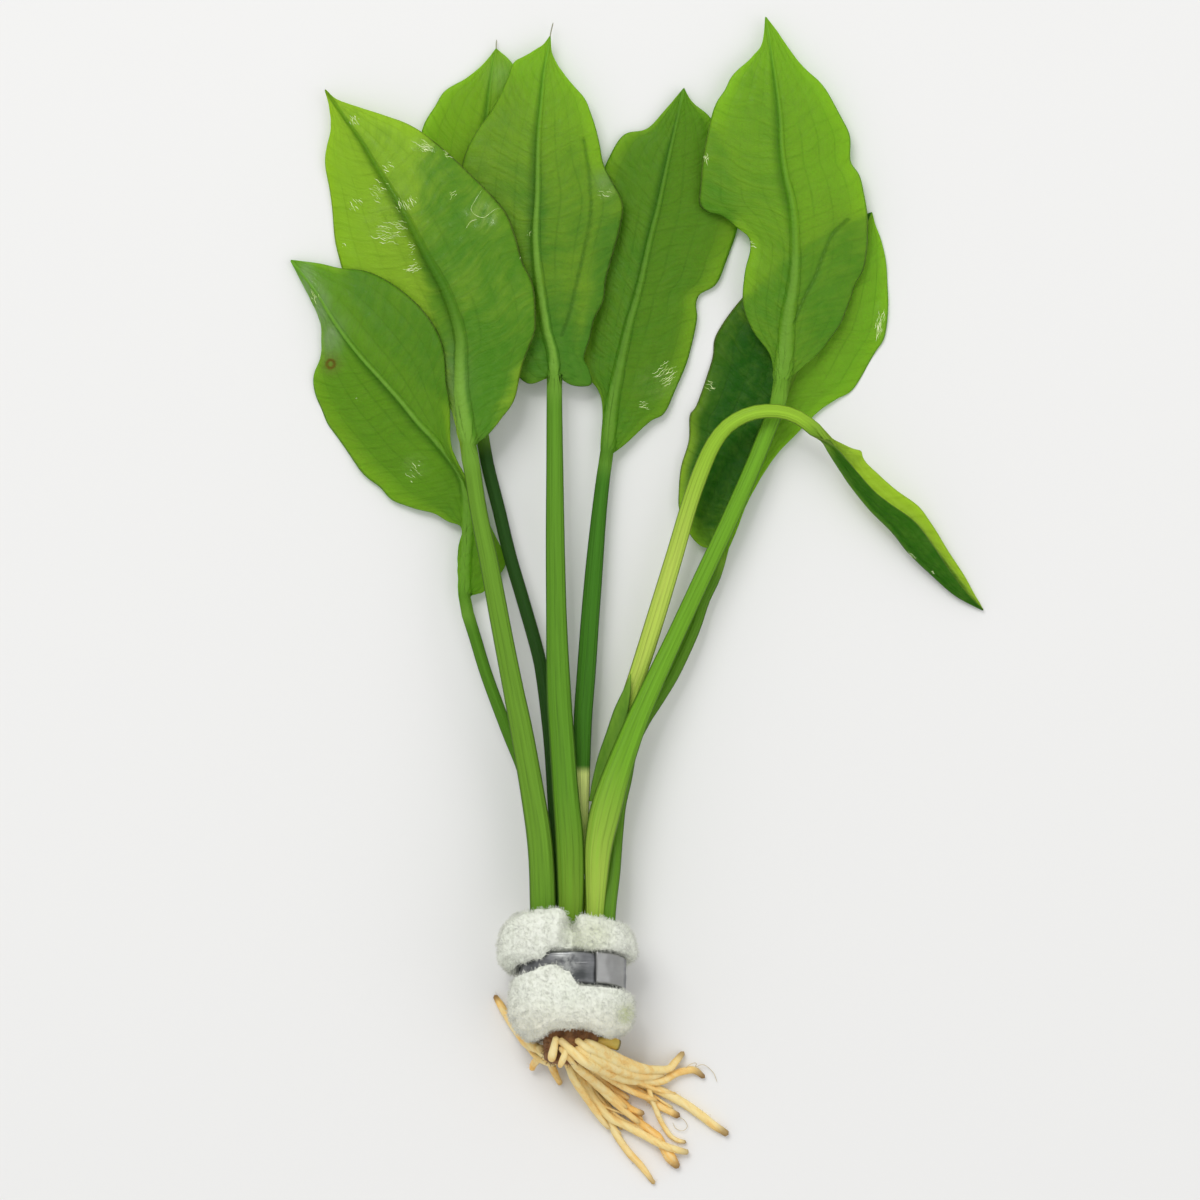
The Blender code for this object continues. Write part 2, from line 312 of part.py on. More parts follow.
# Colours as (base colour, roughness, metallic)
COLOURS = {
    "leaf": ((0.13, 0.36, 0.03), 0.38, 0.0),
    "young_leaf": ((0.36, 0.52, 0.06), 0.4, 0.0),
    "foam": ((0.78, 0.82, 0.74), 0.95, 0.0),
    "strip": ((0.33, 0.34, 0.36), 0.45, 1.0),
    "crown": ((0.16, 0.07, 0.02), 0.8, 0.0),
    "stub": ((0.38, 0.30, 0.06), 0.6, 0.0),
    "root": ((0.80, 0.62, 0.28), 0.6, 0.0),
}


def smooth(points, steps=8):
    """Fill in a smooth run of rows between each two of the given rows."""
    rows = np.array(points, dtype=float)
    padded = np.vstack([2 * rows[0] - rows[1], rows, 2 * rows[-1] - rows[-2]])
    shares = np.linspace(0.0, 1.0, steps, endpoint=False)[:, None]
    run = []
    for before, start, end, after in zip(padded, padded[1:], padded[2:], padded[3:]):
        slope_in = (end - before) / 2
        slope_out = (after - start) / 2
        square = 3 * (end - start) - 2 * slope_in - slope_out
        cube = 2 * (start - end) + slope_in + slope_out
        run.append(start + slope_in * shares + square * shares ** 2 + cube * shares ** 3)
    return np.vstack([*run, rows[-1:]])


def run_length(run):
    """Return the length of a run of rows that start with x, y and z."""
    return np.linalg.norm(np.diff(run[:, :3], axis=0), axis=1).sum()


def at_shares(run, shares):
    """Read rows off a run at the given shares of its length."""
    steps = np.linalg.norm(np.diff(run[:, :3], axis=0), axis=1)
    along = np.concatenate([[0.0], np.cumsum(steps)]) / steps.sum()
    return np.column_stack([np.interp(shares, along, column) for column in run.T])


def make_material(name):
    """Make a plain material with the named colour."""
    colour, roughness, metallic = COLOURS[name]
    material = bpy.data.materials.new(name)
    material.use_nodes = True
    shader = material.node_tree.nodes["Principled BSDF"]
    shader.inputs["Base Color"].default_value = (*colour, 1.0)
    shader.inputs["Roughness"].default_value = roughness
    shader.inputs["Metallic"].default_value = metallic
    return material


def add_object(name, data, material, parts):
    """Put mesh or curve data into the collection as a named object."""
    data.materials.append(material)
    made = bpy.data.objects.new(name, data)
    parts.objects.link(made)
    return made


def loft(name, rings, closed=False):
    """Skin a mesh over rings in millimetres; a ring of one point is a tip, and open ends are capped."""
    form = bmesh.new()
    sections = [[form.verts.new(Vector(point) * MM) for point in ring] for ring in rings]
    pairs = list(zip(sections, sections[1:]))
    if closed:
        pairs.append((sections[-1], sections[0]))
    for first, second in pairs:
        count = len(first)
        for i in range(count):
            following = (i + 1) % count
            if len(second) == 1:
                form.faces.new((first[i], first[following], second[0]))
            else:
                form.faces.new((first[i], first[following], second[following], second[i]))
    if not closed:
        form.faces.new(sections[0])
        if len(sections[-1]) > 1:
            form.faces.new(sections[-1])
    bmesh.ops.recalc_face_normals(form, faces=form.faces)
    mesh = bpy.data.meshes.new(name)
    form.to_mesh(mesh)
    form.free()
    mesh.shade_smooth()
    mesh.set_sharp_from_angle(angle=math.radians(50))
    return mesh


def tube(name, rows):
    """Make a bevelled curve through (x, y, z, radius) rows, with closed ends, lying no lower than the table."""
    run = smooth(rows)
    count = max(5, round(run_length(run) * ROOT_POINTS_PER_MM))
    points = at_shares(run, np.linspace(0.0, 1.0, count))
    curve = bpy.data.curves.new(name, "CURVE")
    curve.dimensions = "3D"
    curve.bevel_depth = MM
    curve.bevel_resolution = ROOT_BEVEL_RESOLUTION
    curve.use_fill_caps = True
    spline = curve.splines.new("POLY")
    spline.points.add(count - 1)
    for point, (x, y, z, radius) in zip(spline.points, points):
        point.co = (x * MM, y * MM, max(z, radius) * MM, 1.0)
        point.radius = radius
    return curve


def cross_section(centre, direction, width, thickness, count):
    """Return an oval ring across a direction, starting at its left edge and going over its top."""
    across = Vector((direction[1], -direction[0], 0.0)).normalized()
    up = across.cross(Vector(direction)).normalized()
    ring = []
    for i in range(count):
        angle = math.pi - math.tau * i / count
        offset = across * (width / 2 * math.cos(angle)) + up * (thickness / 2 * math.sin(angle))
        ring.append(Vector(centre) + offset)
    return ring


def oval_rings(centres, flatness, count):
    """Return oval rings along (x, y, z, width) rows; flatness is thickness by width."""
    directions = np.gradient(centres[:, :3], axis=0)
    rings = []
    for (x, y, z, width), direction in zip(centres, directions):
        rings.append(cross_section((x, y, z), direction, width, width * flatness, count))
    return rings


def half_blade(midrib, margin, bow, reach):
    """Return the rib edge and the middle of one half of a blade, between its midrib and its margin."""
    out = margin - midrib
    width = np.linalg.norm(out, axis=1)[:, None]
    lift = np.array([0.0, 0.0, bow]) * width / width.max()
    rib_share = np.minimum(reach[:, None] / width, RIB_REACH_LIMIT)
    middle_share = (1.0 + rib_share) / 2
    rib_edge = midrib + out * rib_share + lift * 4 * rib_share * (1 - rib_share)
    middle = midrib + out * middle_share + lift * 4 * middle_share * (1 - middle_share)
    return rib_edge, middle


def blade_rings(leaf):
    """Return rings across a blade: margin, five upper points, margin, five lower points."""
    shares = np.array(BLADE_SHARES)
    midrib = at_shares(smooth(leaf["midrib"]), shares)
    left = at_shares(smooth(leaf["left"]), shares)
    right = at_shares(smooth(leaf["right"]), shares)
    foot_width = leaf["stalk"][-1][3]
    reach = foot_width / 2 * (1 - shares) + RIB_REACH_AT_TIP
    rib = RIB_AT_TIP + (leaf["rib_at_foot"] - RIB_AT_TIP) * (1 - shares)
    left_rib, left_middle = half_blade(midrib, left, leaf["bow"][0], reach)
    right_rib, right_middle = half_blade(midrib, right, leaf["bow"][1], reach)
    sheet = np.stack([left, left_middle, left_rib, midrib, right_rib, right_middle, right], axis=1)
    normals = np.cross(np.gradient(sheet, axis=1), np.gradient(sheet, axis=0))
    normals /= np.linalg.norm(normals, axis=2, keepdims=True)
    from_rib = np.linalg.norm(sheet - midrib[:, None, :], axis=2) / reach[:, None]
    swell = np.sqrt(np.clip(1 - from_rib ** 2, 0.0, 1.0))
    offsets = normals * (BLADE_THICKNESS + (rib[:, None] - BLADE_THICKNESS) * swell)[:, :, None] / 2
    rings = []
    for points, offset in zip(sheet, offsets):
        upper = (points + offset)[1:-1]
        lower = (points - offset)[-2:0:-1]
        rings.append([points[0], *upper, points[-1], *lower])
    return rings


def make_leaf(name, leaf, stalk_rings, closing):
    """Make a leaf's mesh: its stalk from the crown up, then its blade out to the tip."""
    centres = at_shares(smooth(leaf["stalk"]), np.linspace(0.0, 1.0, stalk_rings) ** closing)
    rings = oval_rings(centres, STALK_FLATNESS, RING_POINTS)
    rings.extend(blade_rings(leaf))
    rings.append([leaf["midrib"][-1]])
    return loft(name, rings)


def wrap_radius(angle, half_width, half_height):
    """Return how far a squarish oval reaches from its middle at an angle."""
    across = abs(math.cos(angle) / half_width) ** WRAP_SQUARENESS
    upward = abs(math.sin(angle) / half_height) ** WRAP_SQUARENESS
    return (across + upward) ** (-1.0 / WRAP_SQUARENESS)


def lip_height(angle, lip):
    """Return how far a lobe overhangs the strip's groove at an angle; lip tells which lobe by its sign."""
    reach, (start, end) = (FOOT_LIP, FOOT_LIP_ANGLES) if lip > 0 else (MOUTH_LIP, MOUTH_LIP_ANGLES)
    return reach if start < angle < end else LIP_LEAST


def make_wrap():
    """Make the foam wrap: a thick pinched tube, open at both ends and flat where it lies."""
    rings = []
    for y, middle, half_width, half_height, lean, seam, lip, droop in WRAP_RINGS:
        ring = []
        for i in range(WRAP_SIDES):
            angle = math.tau * i / WRAP_SIDES
            radius = wrap_radius(angle, half_width, half_height)
            along = y + lip * lip_height(angle, lip) + droop * max(0.0, math.cos(angle))
            if math.isclose(angle, math.pi / 2):
                radius -= SEAM_DEPTH * seam
                along -= SEAM_RECESS * seam * (1 - lean)
            height = radius * math.sin(angle)
            along += WRAP_LEAN * lean * height
            ring.append((middle + radius * math.cos(angle), along, max(0.0, WRAP_AXIS_HEIGHT + height)))
        rings.append(ring)
    return loft("foam_wrap", rings, closed=True)


def strip_layer(travelled):
    """Return how far the strip stands out from its inner turn after it has gone round by an angle."""
    past_overlap = travelled - STRIP_OVERLAP * 1.2
    return STRIP_LAYER * min(1.0, max(0.0, 1.0 - past_overlap / STRIP_RAMP))


def make_strip():
    """Make the strip's ribbon: one turn about the wrap and a lap over its own end."""
    form = bmesh.new()
    edges = []
    for i in range(STRIP_STATIONS + 1):
        travelled = (math.tau + STRIP_OVERLAP) * i / STRIP_STATIONS
        angle = STRIP_END - travelled
        layer = strip_layer(travelled)
        radius = wrap_radius(angle, STRIP_HALF_SIZE[0] + layer, STRIP_HALF_SIZE[1] + layer)
        x = STRIP_AXIS_X + radius * math.cos(angle)
        height = radius * math.sin(angle)
        z = WRAP_AXIS_HEIGHT + height
        pair = []
        for side in (-1, 1):
            y = STRIP_Y + WRAP_LEAN * height + side * STRIP_WIDTH / 2
            pair.append(form.verts.new(Vector((x, y, z)) * MM))
        edges.append(pair)
    for (low, high), (next_low, next_high) in zip(edges, edges[1:]):
        form.faces.new((low, high, next_high, next_low))
    mesh = bpy.data.meshes.new("weight_strip")
    form.to_mesh(mesh)
    form.free()
    return mesh


def make_crown():
    """Make the crown: a short stem that narrows at both ends."""
    middle_x, middle_z = CROWN_MIDDLE
    half_width, half_height = CROWN_HALF_SIZE
    rings = []
    for y, share in CROWN_RINGS:
        ring = []
        for i in range(CROWN_SIDES):
            angle = math.tau * i / CROWN_SIDES
            x = middle_x + half_width * share * math.cos(angle)
            z = middle_z + half_height * share * math.sin(angle)
            ring.append((x, y, z))
        rings.append(ring)
    return loft("crown", rings)


def make_sheath():
    """Make the thin pointed sheath beside the bent leaf's stalk."""
    centres = np.array(SHEATH, dtype=float)
    directions = np.gradient(centres[:, :3], axis=0)
    rings = []
    for (x, y, z, width), direction in zip(centres, directions):
        rings.append(cross_section((x, y, z), direction, width, SHEATH_THICKNESS, SHEATH_SIDES))
    rings.append([SHEATH_APEX])
    return loft("sheath", rings)


def main():
    """Clear the scene and build the plant."""
    for old in list(bpy.data.objects):
        bpy.data.objects.remove(old)
    parts = bpy.data.collections.new("sword_plant")
    bpy.context.scene.collection.children.link(parts)
    materials = {name: make_material(name) for name in COLOURS}

    for name, leaf in LEAVES.items():
        if name == "leaf_bent":
            mesh = make_leaf(name, leaf, BENT_STALK_RINGS, BENT_STALK_CLOSING)
            add_object(name, mesh, materials["young_leaf"], parts)
        else:
            mesh = make_leaf(name, leaf, STALK_RINGS, STALK_CLOSING)
            add_object(name, mesh, materials["leaf"], parts)
    add_object("sheath", make_sheath(), materials["leaf"], parts)
    add_object("crown", make_crown(), materials["crown"], parts)
    add_object("cut_stub", tube("cut_stub", CUT_STUB), materials["stub"], parts)
    for name, rows in ROOTS.items():
        add_object(name, tube(name, rows), materials["root"], parts)
    add_object("foam_wrap", make_wrap(), materials["foam"], parts)
    strip = add_object("weight_strip", make_strip(), materials["strip"], parts)
    thickness = strip.modifiers.new("thickness", "SOLIDIFY")
    thickness.thickness = STRIP_THICKNESS * MM
    thickness.offset = 0.0
    thickness.use_even_offset = True


main()
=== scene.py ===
"""Looks of the sword plant: leaves, roots, foam wrap and strip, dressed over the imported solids.

Rows of points are in millimetres in the plant's own frame: X to the right and Y towards the leaf
tips as seen from above, Z up from the surface that the plant lies on. Meshes are in metres.
"""

import json
import math

import bmesh
import bpy
import numpy as np
from bpy.props import FloatProperty, FloatVectorProperty, IntProperty, PointerProperty
from mathutils import Euler, Matrix, Vector, noise
from mathutils.bvhtree import BVHTree

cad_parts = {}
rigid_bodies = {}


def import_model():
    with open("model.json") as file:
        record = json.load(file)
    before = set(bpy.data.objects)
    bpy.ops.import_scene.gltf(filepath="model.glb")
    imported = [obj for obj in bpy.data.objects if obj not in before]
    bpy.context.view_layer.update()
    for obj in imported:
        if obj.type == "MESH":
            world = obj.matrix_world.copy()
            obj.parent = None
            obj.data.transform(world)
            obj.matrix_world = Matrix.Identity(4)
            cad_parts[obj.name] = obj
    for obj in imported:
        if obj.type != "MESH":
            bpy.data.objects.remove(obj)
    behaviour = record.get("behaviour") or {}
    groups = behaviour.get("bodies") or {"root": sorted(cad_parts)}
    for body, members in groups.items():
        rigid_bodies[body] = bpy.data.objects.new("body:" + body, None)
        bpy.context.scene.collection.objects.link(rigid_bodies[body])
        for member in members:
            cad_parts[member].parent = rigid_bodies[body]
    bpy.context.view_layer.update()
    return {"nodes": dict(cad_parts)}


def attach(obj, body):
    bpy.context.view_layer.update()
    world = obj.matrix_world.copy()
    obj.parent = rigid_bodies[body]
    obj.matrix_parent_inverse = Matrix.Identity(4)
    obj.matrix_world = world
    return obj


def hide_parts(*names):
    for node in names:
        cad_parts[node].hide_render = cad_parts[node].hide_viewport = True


bl_info = {
    "name": "Sword Plant",
    "version": (1, 0, 0),
    "blender": (4, 5, 0),
    "location": "3D View > Sidebar > Sword Plant",
    "description": "Builds an aquarium plant lying on a table, its root end wrapped in foam",
    "category": "Object",
}

MM = 0.001

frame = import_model()

# Each leaf: stalk rows are (x, y, z, width) from the crown up; midrib, left and right margin rows
# are (x, y, z) from the foot of the blade to its tip, which the midrib's last row gives for all three.
# bow lifts the two halves between rib and margin, and rib_at_foot is the midrib's thickness where the
# blade starts.
LEAVES = {
    "leaf_front_left": {
        "stalk": [
            (-22.0, -75.5, 10.3, 2.6), (-22.5, -68.3, 10.2, 2.6), (-23.1, -57.9, 9.7, 2.6),
            (-23.8, -46.2, 8.9, 2.6), (-25.8, -37.9, 8.2, 2.6), (-29.5, -28.5, 7.2, 2.7),
            (-34.0, -16.5, 5.9, 2.7), (-36.7, -7.8, 5.0, 2.7), (-38.7, -1.5, 4.4, 2.8)],
        "midrib": [
            (-39.2, 1.5, 4.1), (-39.2, 8.4, 3.8), (-38.5, 17.2, 3.9), (-39.0, 25.5, 5.0),
            (-40.4, 29.8, 5.8), (-45.0, 35.9, 6.8), (-49.1, 40.2, 7.0), (-53.3, 45.3, 6.9),
            (-57.6, 50.1, 6.6), (-61.9, 54.8, 6.0), (-65.7, 59.5, 5.2), (-69.1, 64.4, 4.2),
            (-72.9, 70.5, 2.8), (-78.4, 77.4, 1.2)],
        "left": [
            (-40.4, 1.5, 4.1), (-40.6, 11.8, 3.7), (-39.4, 16.8, 3.4), (-43.2, 18.4, 2.8),
            (-46.1, 20.1, 2.4), (-50.6, 21.3, 2.0), (-55.4, 23.1, 1.6), (-58.2, 26.0, 1.3),
            (-62.2, 29.4, 1.0), (-66.8, 35.7, 0.7), (-70.8, 41.4, 0.5), (-73.3, 49.5, 0.4),
            (-71.8, 55.5, 0.8), (-71.4, 61.5, 1.1), (-72.0, 64.4, 1.2), (-74.0, 68.7, 1.1),
            (-76.3, 73.2, 1.1)],
        "right": [
            (-37.9, 1.5, 4.0), (-36.2, 1.9, 3.0), (-34.4, 2.7, 2.2), (-30.8, 6.9, 1.5),
            (-29.9, 9.1, 1.3), (-30.8, 12.3, 1.5), (-32.6, 15.9, 2.4), (-35.1, 21.3, 4.5),
            (-38.2, 27.1, 6.8), (-40.9, 32.3, 8.1), (-42.1, 36.6, 8.6), (-42.3, 44.0, 8.9),
            (-43.0, 49.6, 9.1), (-43.9, 57.7, 9.0), (-47.5, 64.7, 8.1), (-53.8, 70.7, 6.1),
            (-60.8, 74.6, 4.0), (-67.3, 75.5, 2.8), (-72.0, 76.6, 2.0)],
        "bow": (0.4, -0.2),
        "rib_at_foot": 2.0,
    },
    "leaf_large_left": {
        "stalk": [
            (-21.2, -75.5, 15.2, 5.1), (-21.3, -68.3, 15.2, 5.7), (-21.6, -59.1, 14.9, 5.6),
            (-22.3, -51.2, 14.4, 5.5), (-24.1, -39.9, 13.8, 5.2), (-26.1, -28.7, 13.2, 5.0),
            (-27.9, -19.7, 12.8, 4.6), (-29.9, -9.6, 12.4, 4.4), (-31.7, -0.1, 12.0, 4.3),
            (-33.5, 9.6, 11.7, 4.1), (-35.8, 20.8, 11.3, 3.8), (-37.2, 30.0, 11.0, 3.8),
            (-38.0, 34.0, 10.9, 4.0)],
        "midrib": [
            (-38.2, 35.5, 10.8), (-38.9, 41.3, 10.7), (-39.7, 47.6, 10.5), (-39.8, 54.8, 10.4),
            (-40.0, 60.4, 10.4), (-42.7, 69.0, 10.1), (-47.5, 78.0, 9.2), (-53.1, 88.8, 7.8),
            (-58.7, 98.0, 6.2), (-62.1, 103.8, 5.2), (-66.5, 109.9, 4.0), (-70.6, 115.8, 2.6)],
        "left": [
            (-40.0, 35.5, 10.8), (-40.6, 38.0, 10.0), (-41.2, 40.6, 8.9), (-42.0, 43.2, 7.7),
            (-44.2, 45.4, 6.4), (-47.9, 47.9, 5.2), (-53.5, 52.8, 3.8), (-59.8, 60.2, 2.2),
            (-64.4, 68.1, 1.2), (-66.8, 75.4, 0.7), (-68.6, 82.5, 0.5), (-69.3, 90.8, 0.6),
            (-70.6, 100.0, 1.0), (-69.4, 106.6, 1.7), (-69.6, 111.7, 2.2)],
        "right": [
            (-36.4, 35.5, 10.8), (-33.5, 37.7, 10.6), (-30.6, 41.3, 10.3), (-27.7, 45.6, 10.0),
            (-25.9, 53.2, 9.8), (-23.4, 59.9, 9.8), (-23.0, 62.5, 9.8), (-23.4, 70.8, 9.6),
            (-25.9, 76.6, 9.3), (-27.7, 82.9, 9.0), (-30.4, 88.7, 8.4), (-38.3, 96.9, 7.3),
            (-45.9, 103.8, 6.4), (-51.8, 107.7, 5.7), (-60.8, 111.0, 4.3), (-67.7, 113.3, 3.2)],
        "bow": (-0.9, 0.5),
        "rib_at_foot": 3.0,
    },
    "leaf_back_left": {
        "stalk": [
            (-18.7, -75.5, 10.4, 2.9), (-18.4, -68.3, 10.3, 2.9), (-18.4, -55.7, 9.6, 2.9),
            (-18.9, -44.4, 8.6, 2.9), (-19.8, -30.9, 7.4, 2.9), (-21.4, -17.4, 6.4, 2.9),
            (-22.7, -10.7, 5.9, 2.9), (-26.0, 0.9, 5.0, 2.9), (-28.9, 10.7, 4.3, 2.9),
            (-31.5, 21.5, 3.7, 2.9), (-33.8, 30.5, 3.1, 2.9), (-35.3, 38.8, 2.7, 2.9)],
        "midrib": [
            (-35.8, 42.9, 2.5), (-36.7, 52.3, 2.2), (-36.7, 65.8, 1.9), (-35.8, 81.6, 1.8),
            (-34.9, 97.3, 1.8), (-33.8, 112.2, 1.7), (-32.9, 120.7, 1.4), (-32.0, 125.2, 1.0)],
        "left": [
            (-37.2, 42.9, 2.4), (-41.2, 48.9, 1.6), (-45.0, 59.1, 1.0), (-47.7, 70.3, 0.8),
            (-49.5, 81.6, 0.8), (-49.8, 96.0, 0.8), (-48.8, 106.5, 0.8), (-45.7, 112.4, 0.9),
            (-43.4, 115.8, 0.9), (-38.5, 118.7, 1.0), (-34.7, 121.9, 1.0)],
        "right": [
            (-34.4, 42.9, 2.4), (-29.9, 47.8, 1.5), (-25.4, 57.9, 0.9), (-22.5, 70.3, 0.6),
            (-21.2, 83.8, 0.6), (-21.4, 97.3, 0.7), (-23.4, 108.6, 0.9), (-25.9, 116.4, 1.0),
            (-28.5, 122.0, 1.0)],
        "bow": (0.0, 0.0),
        "rib_at_foot": 2.1,
    },
    "leaf_centre": {
        "stalk": [
            (-15.4, -75.5, 15.2, 5.2), (-15.1, -68.1, 15.2, 5.6), (-15.1, -60.2, 14.9, 6.1),
            (-15.5, -51.2, 14.2, 6.2), (-16.3, -42.2, 13.3, 5.8), (-17.1, -30.9, 12.2, 5.6),
            (-17.8, -19.7, 11.2, 5.4), (-18.3, -3.9, 9.8, 4.6), (-18.6, 14.1, 8.5, 4.2),
            (-18.7, 29.8, 7.7, 3.8), (-18.8, 43.3, 7.1, 3.5), (-18.8, 50.0, 6.9, 3.4)],
        "midrib": [
            (-18.8, 51.4, 6.9), (-19.0, 56.8, 6.9), (-20.3, 61.8, 6.9), (-21.6, 69.0, 7.0),
            (-22.6, 76.2, 7.0), (-23.0, 83.6, 6.9), (-22.6, 91.7, 6.6), (-22.5, 99.6, 6.2),
            (-22.3, 105.9, 5.8), (-21.8, 111.5, 5.3), (-21.2, 118.5, 4.5), (-20.5, 123.5, 3.8),
            (-19.8, 127.8, 3.0)],
        "left": [
            (-20.4, 50.4, 6.8), (-24.6, 49.2, 5.8), (-27.8, 51.8, 5.2), (-31.1, 56.8, 4.6),
            (-37.8, 65.8, 3.8), (-40.7, 76.6, 3.5), (-41.0, 89.4, 3.4), (-39.4, 99.6, 3.4),
            (-36.5, 106.1, 3.5), (-32.2, 112.4, 3.6), (-29.3, 118.5, 3.7), (-28.0, 121.8, 3.6),
            (-25.6, 123.2, 3.5), (-21.6, 125.6, 3.2)],
        "right": [
            (-17.2, 50.4, 6.8), (-14.6, 48.8, 6.1), (-10.6, 49.0, 5.5), (-11.0, 52.0, 5.5),
            (-12.2, 55.0, 5.6), (-10.8, 59.5, 5.4), (-9.9, 63.8, 5.2), (-7.8, 67.8, 4.9),
            (-7.2, 72.6, 4.8), (-6.1, 76.6, 4.6), (-3.6, 87.0, 4.3), (-4.1, 91.7, 4.2),
            (-7.5, 98.2, 4.4), (-8.7, 103.5, 4.5), (-10.4, 109.7, 4.5), (-12.2, 114.0, 4.5),
            (-16.2, 118.5, 4.3), (-19.2, 123.2, 3.6)],
        "bow": (0.2, 0.7),
        "rib_at_foot": 2.6,
    },
    "leaf_centre_right": {
        "stalk": [
            (-15.1, -75.5, 10.4, 3.1), (-14.5, -68.3, 10.3, 3.1), (-13.4, -57.9, 9.4, 3.1),
            (-12.7, -46.7, 8.5, 3.3), (-12.6, -36.6, 7.7, 3.7), (-12.4, -26.4, 7.0, 4.1),
            (-11.6, -15.2, 6.2, 4.2), (-10.8, -3.9, 5.5, 4.1), (-9.9, 7.3, 4.9, 3.9),
            (-8.9, 18.6, 4.4, 3.4), (-7.9, 27.6, 4.0, 3.1), (-7.1, 33.0, 3.8, 3.0)],
        "midrib": [
            (-7.0, 34.0, 3.7), (-5.9, 43.8, 3.4), (-4.1, 53.2, 3.2), (-2.0, 62.7, 3.2), (0.2, 70.5, 3.2),
            (2.9, 82.7, 3.1), (4.5, 89.0, 3.0), (5.9, 95.5, 2.9), (7.4, 102.5, 2.7), (9.2, 110.4, 2.3),
            (10.4, 116.2, 1.8)],
        "left": [
            (-8.4, 34.2, 3.6), (-8.0, 43.3, 2.9), (-9.0, 48.0, 2.4), (-12.2, 51.9, 1.9),
            (-12.8, 55.7, 1.6), (-12.4, 61.3, 1.3), (-11.3, 69.2, 1.1), (-10.1, 79.3, 1.0),
            (-9.2, 88.3, 1.0), (-8.3, 95.1, 1.0), (-6.8, 100.0, 1.1), (-3.2, 105.6, 1.2),
            (2.0, 107.1, 1.4), (5.9, 111.0, 1.6)],
        "right": [
            (-5.6, 33.6, 3.6), (-2.7, 35.8, 3.1), (2.7, 40.8, 2.3), (5.9, 42.6, 2.0), (8.3, 47.5, 1.7),
            (11.5, 55.4, 1.4), (13.3, 63.8, 1.2), (13.1, 67.1, 1.2), (14.0, 69.6, 1.2),
            (17.6, 71.8, 1.1), (19.7, 76.4, 1.0), (22.6, 84.9, 1.0), (22.5, 91.7, 1.0),
            (21.4, 98.4, 1.1), (19.4, 104.5, 1.2), (16.2, 109.7, 1.4), (12.2, 113.1, 1.6)],
        "bow": (0.0, 0.1),
        "rib_at_foot": 2.2,
    },
    "leaf_tall_right": {
        "stalk": [
            (-10.0, -75.5, 15.2, 4.0), (-9.6, -68.3, 15.2, 4.2), (-9.4, -62.4, 14.9, 5.0),
            (-8.9, -54.6, 14.1, 6.2), (-7.2, -46.2, 13.2, 7.0), (-4.2, -36.6, 12.2, 6.0),
            (-0.5, -26.9, 11.3, 5.0), (2.7, -19.7, 10.6, 4.5), (8.8, -6.6, 9.5, 3.9),
            (14.4, 5.5, 8.6, 3.8), (20.0, 17.4, 8.0, 3.8), (25.9, 30.7, 7.4, 3.7),
            (29.0, 38.4, 7.1, 3.7), (31.3, 44.2, 6.9, 3.6), (32.1, 48.6, 6.8, 3.7)],
        "midrib": [
            (32.3, 50.0, 6.8), (33.1, 56.8, 6.8), (33.8, 64.9, 6.8), (34.9, 71.2, 6.9),
            (35.3, 77.5, 6.9), (35.1, 85.4, 6.8), (34.4, 91.0, 6.6), (33.3, 95.7, 6.4),
            (32.4, 101.8, 6.0), (32.0, 109.7, 5.4), (31.1, 117.1, 4.6), (29.9, 125.4, 3.6),
            (28.8, 132.2, 2.6)],
        "left": [
            (30.6, 50.0, 6.7), (29.7, 55.7, 6.0), (25.9, 61.1, 5.2), (23.6, 67.0, 4.7),
            (24.1, 74.4, 4.7), (25.2, 79.1, 4.8), (24.9, 82.2, 4.8), (22.4, 84.3, 4.6),
            (18.9, 87.0, 4.3), (15.3, 88.1, 4.1), (13.7, 90.1, 4.0), (14.0, 93.5, 4.0),
            (14.9, 101.8, 4.0), (17.1, 111.3, 4.0), (19.6, 115.5, 4.0), (21.4, 118.9, 3.9),
            (25.4, 122.7, 3.6), (28.0, 126.0, 3.1)],
        "right": [
            (34.0, 50.2, 6.7), (36.9, 52.8, 5.9), (41.0, 56.4, 5.2), (45.1, 61.8, 4.7),
            (47.3, 66.7, 4.4), (49.3, 71.8, 4.1), (51.4, 76.6, 3.9), (51.8, 86.1, 3.7),
            (50.2, 95.5, 3.6), (48.0, 99.5, 3.6), (47.8, 105.4, 3.7), (45.0, 110.8, 3.8),
            (41.9, 116.2, 3.8), (38.3, 119.8, 3.7), (35.3, 123.2, 3.5), (31.3, 129.0, 2.9)],
        "bow": (0.3, 0.5),
        "rib_at_foot": 2.8,
    },
    "leaf_back_right": {
        "stalk": [
            (-6.7, -75.5, 15.2, 2.8), (-6.4, -68.3, 15.0, 2.9), (-5.6, -60.2, 12.2, 3.2),
            (-5.1, -53.0, 10.2, 3.3), (-4.4, -45.6, 9.0, 3.4), (-3.0, -39.5, 8.2, 3.3),
            (-1.5, -32.4, 7.4, 3.1), (1.2, -26.6, 6.8, 3.1), (4.3, -21.7, 6.4, 3.2),
            (8.0, -15.5, 5.9, 3.2), (12.2, -6.4, 5.1, 3.2), (14.6, 0.6, 4.5, 3.2), (16.9, 5.5, 4.0, 3.2),
            (18.5, 10.5, 3.6, 3.2)],
        "midrib": [
            (18.9, 12.3, 3.5), (20.3, 17.0, 3.2), (23.2, 24.2, 3.0), (25.9, 30.9, 2.8),
            (29.7, 39.9, 2.6), (34.2, 50.1, 2.4), (39.8, 62.4, 2.2), (45.0, 72.6, 2.0),
            (49.5, 80.9, 1.6), (52.9, 88.2, 1.0)],
        "left": [
            (17.4, 12.3, 3.4), (14.4, 12.6, 3.0), (11.7, 15.4, 2.4), (9.4, 20.7, 1.8), (9.2, 24.9, 1.5),
            (9.7, 30.5, 1.2), (11.5, 36.6, 0.9), (11.7, 42.2, 0.8), (13.4, 44.9, 0.7), (16.7, 54.8, 0.6),
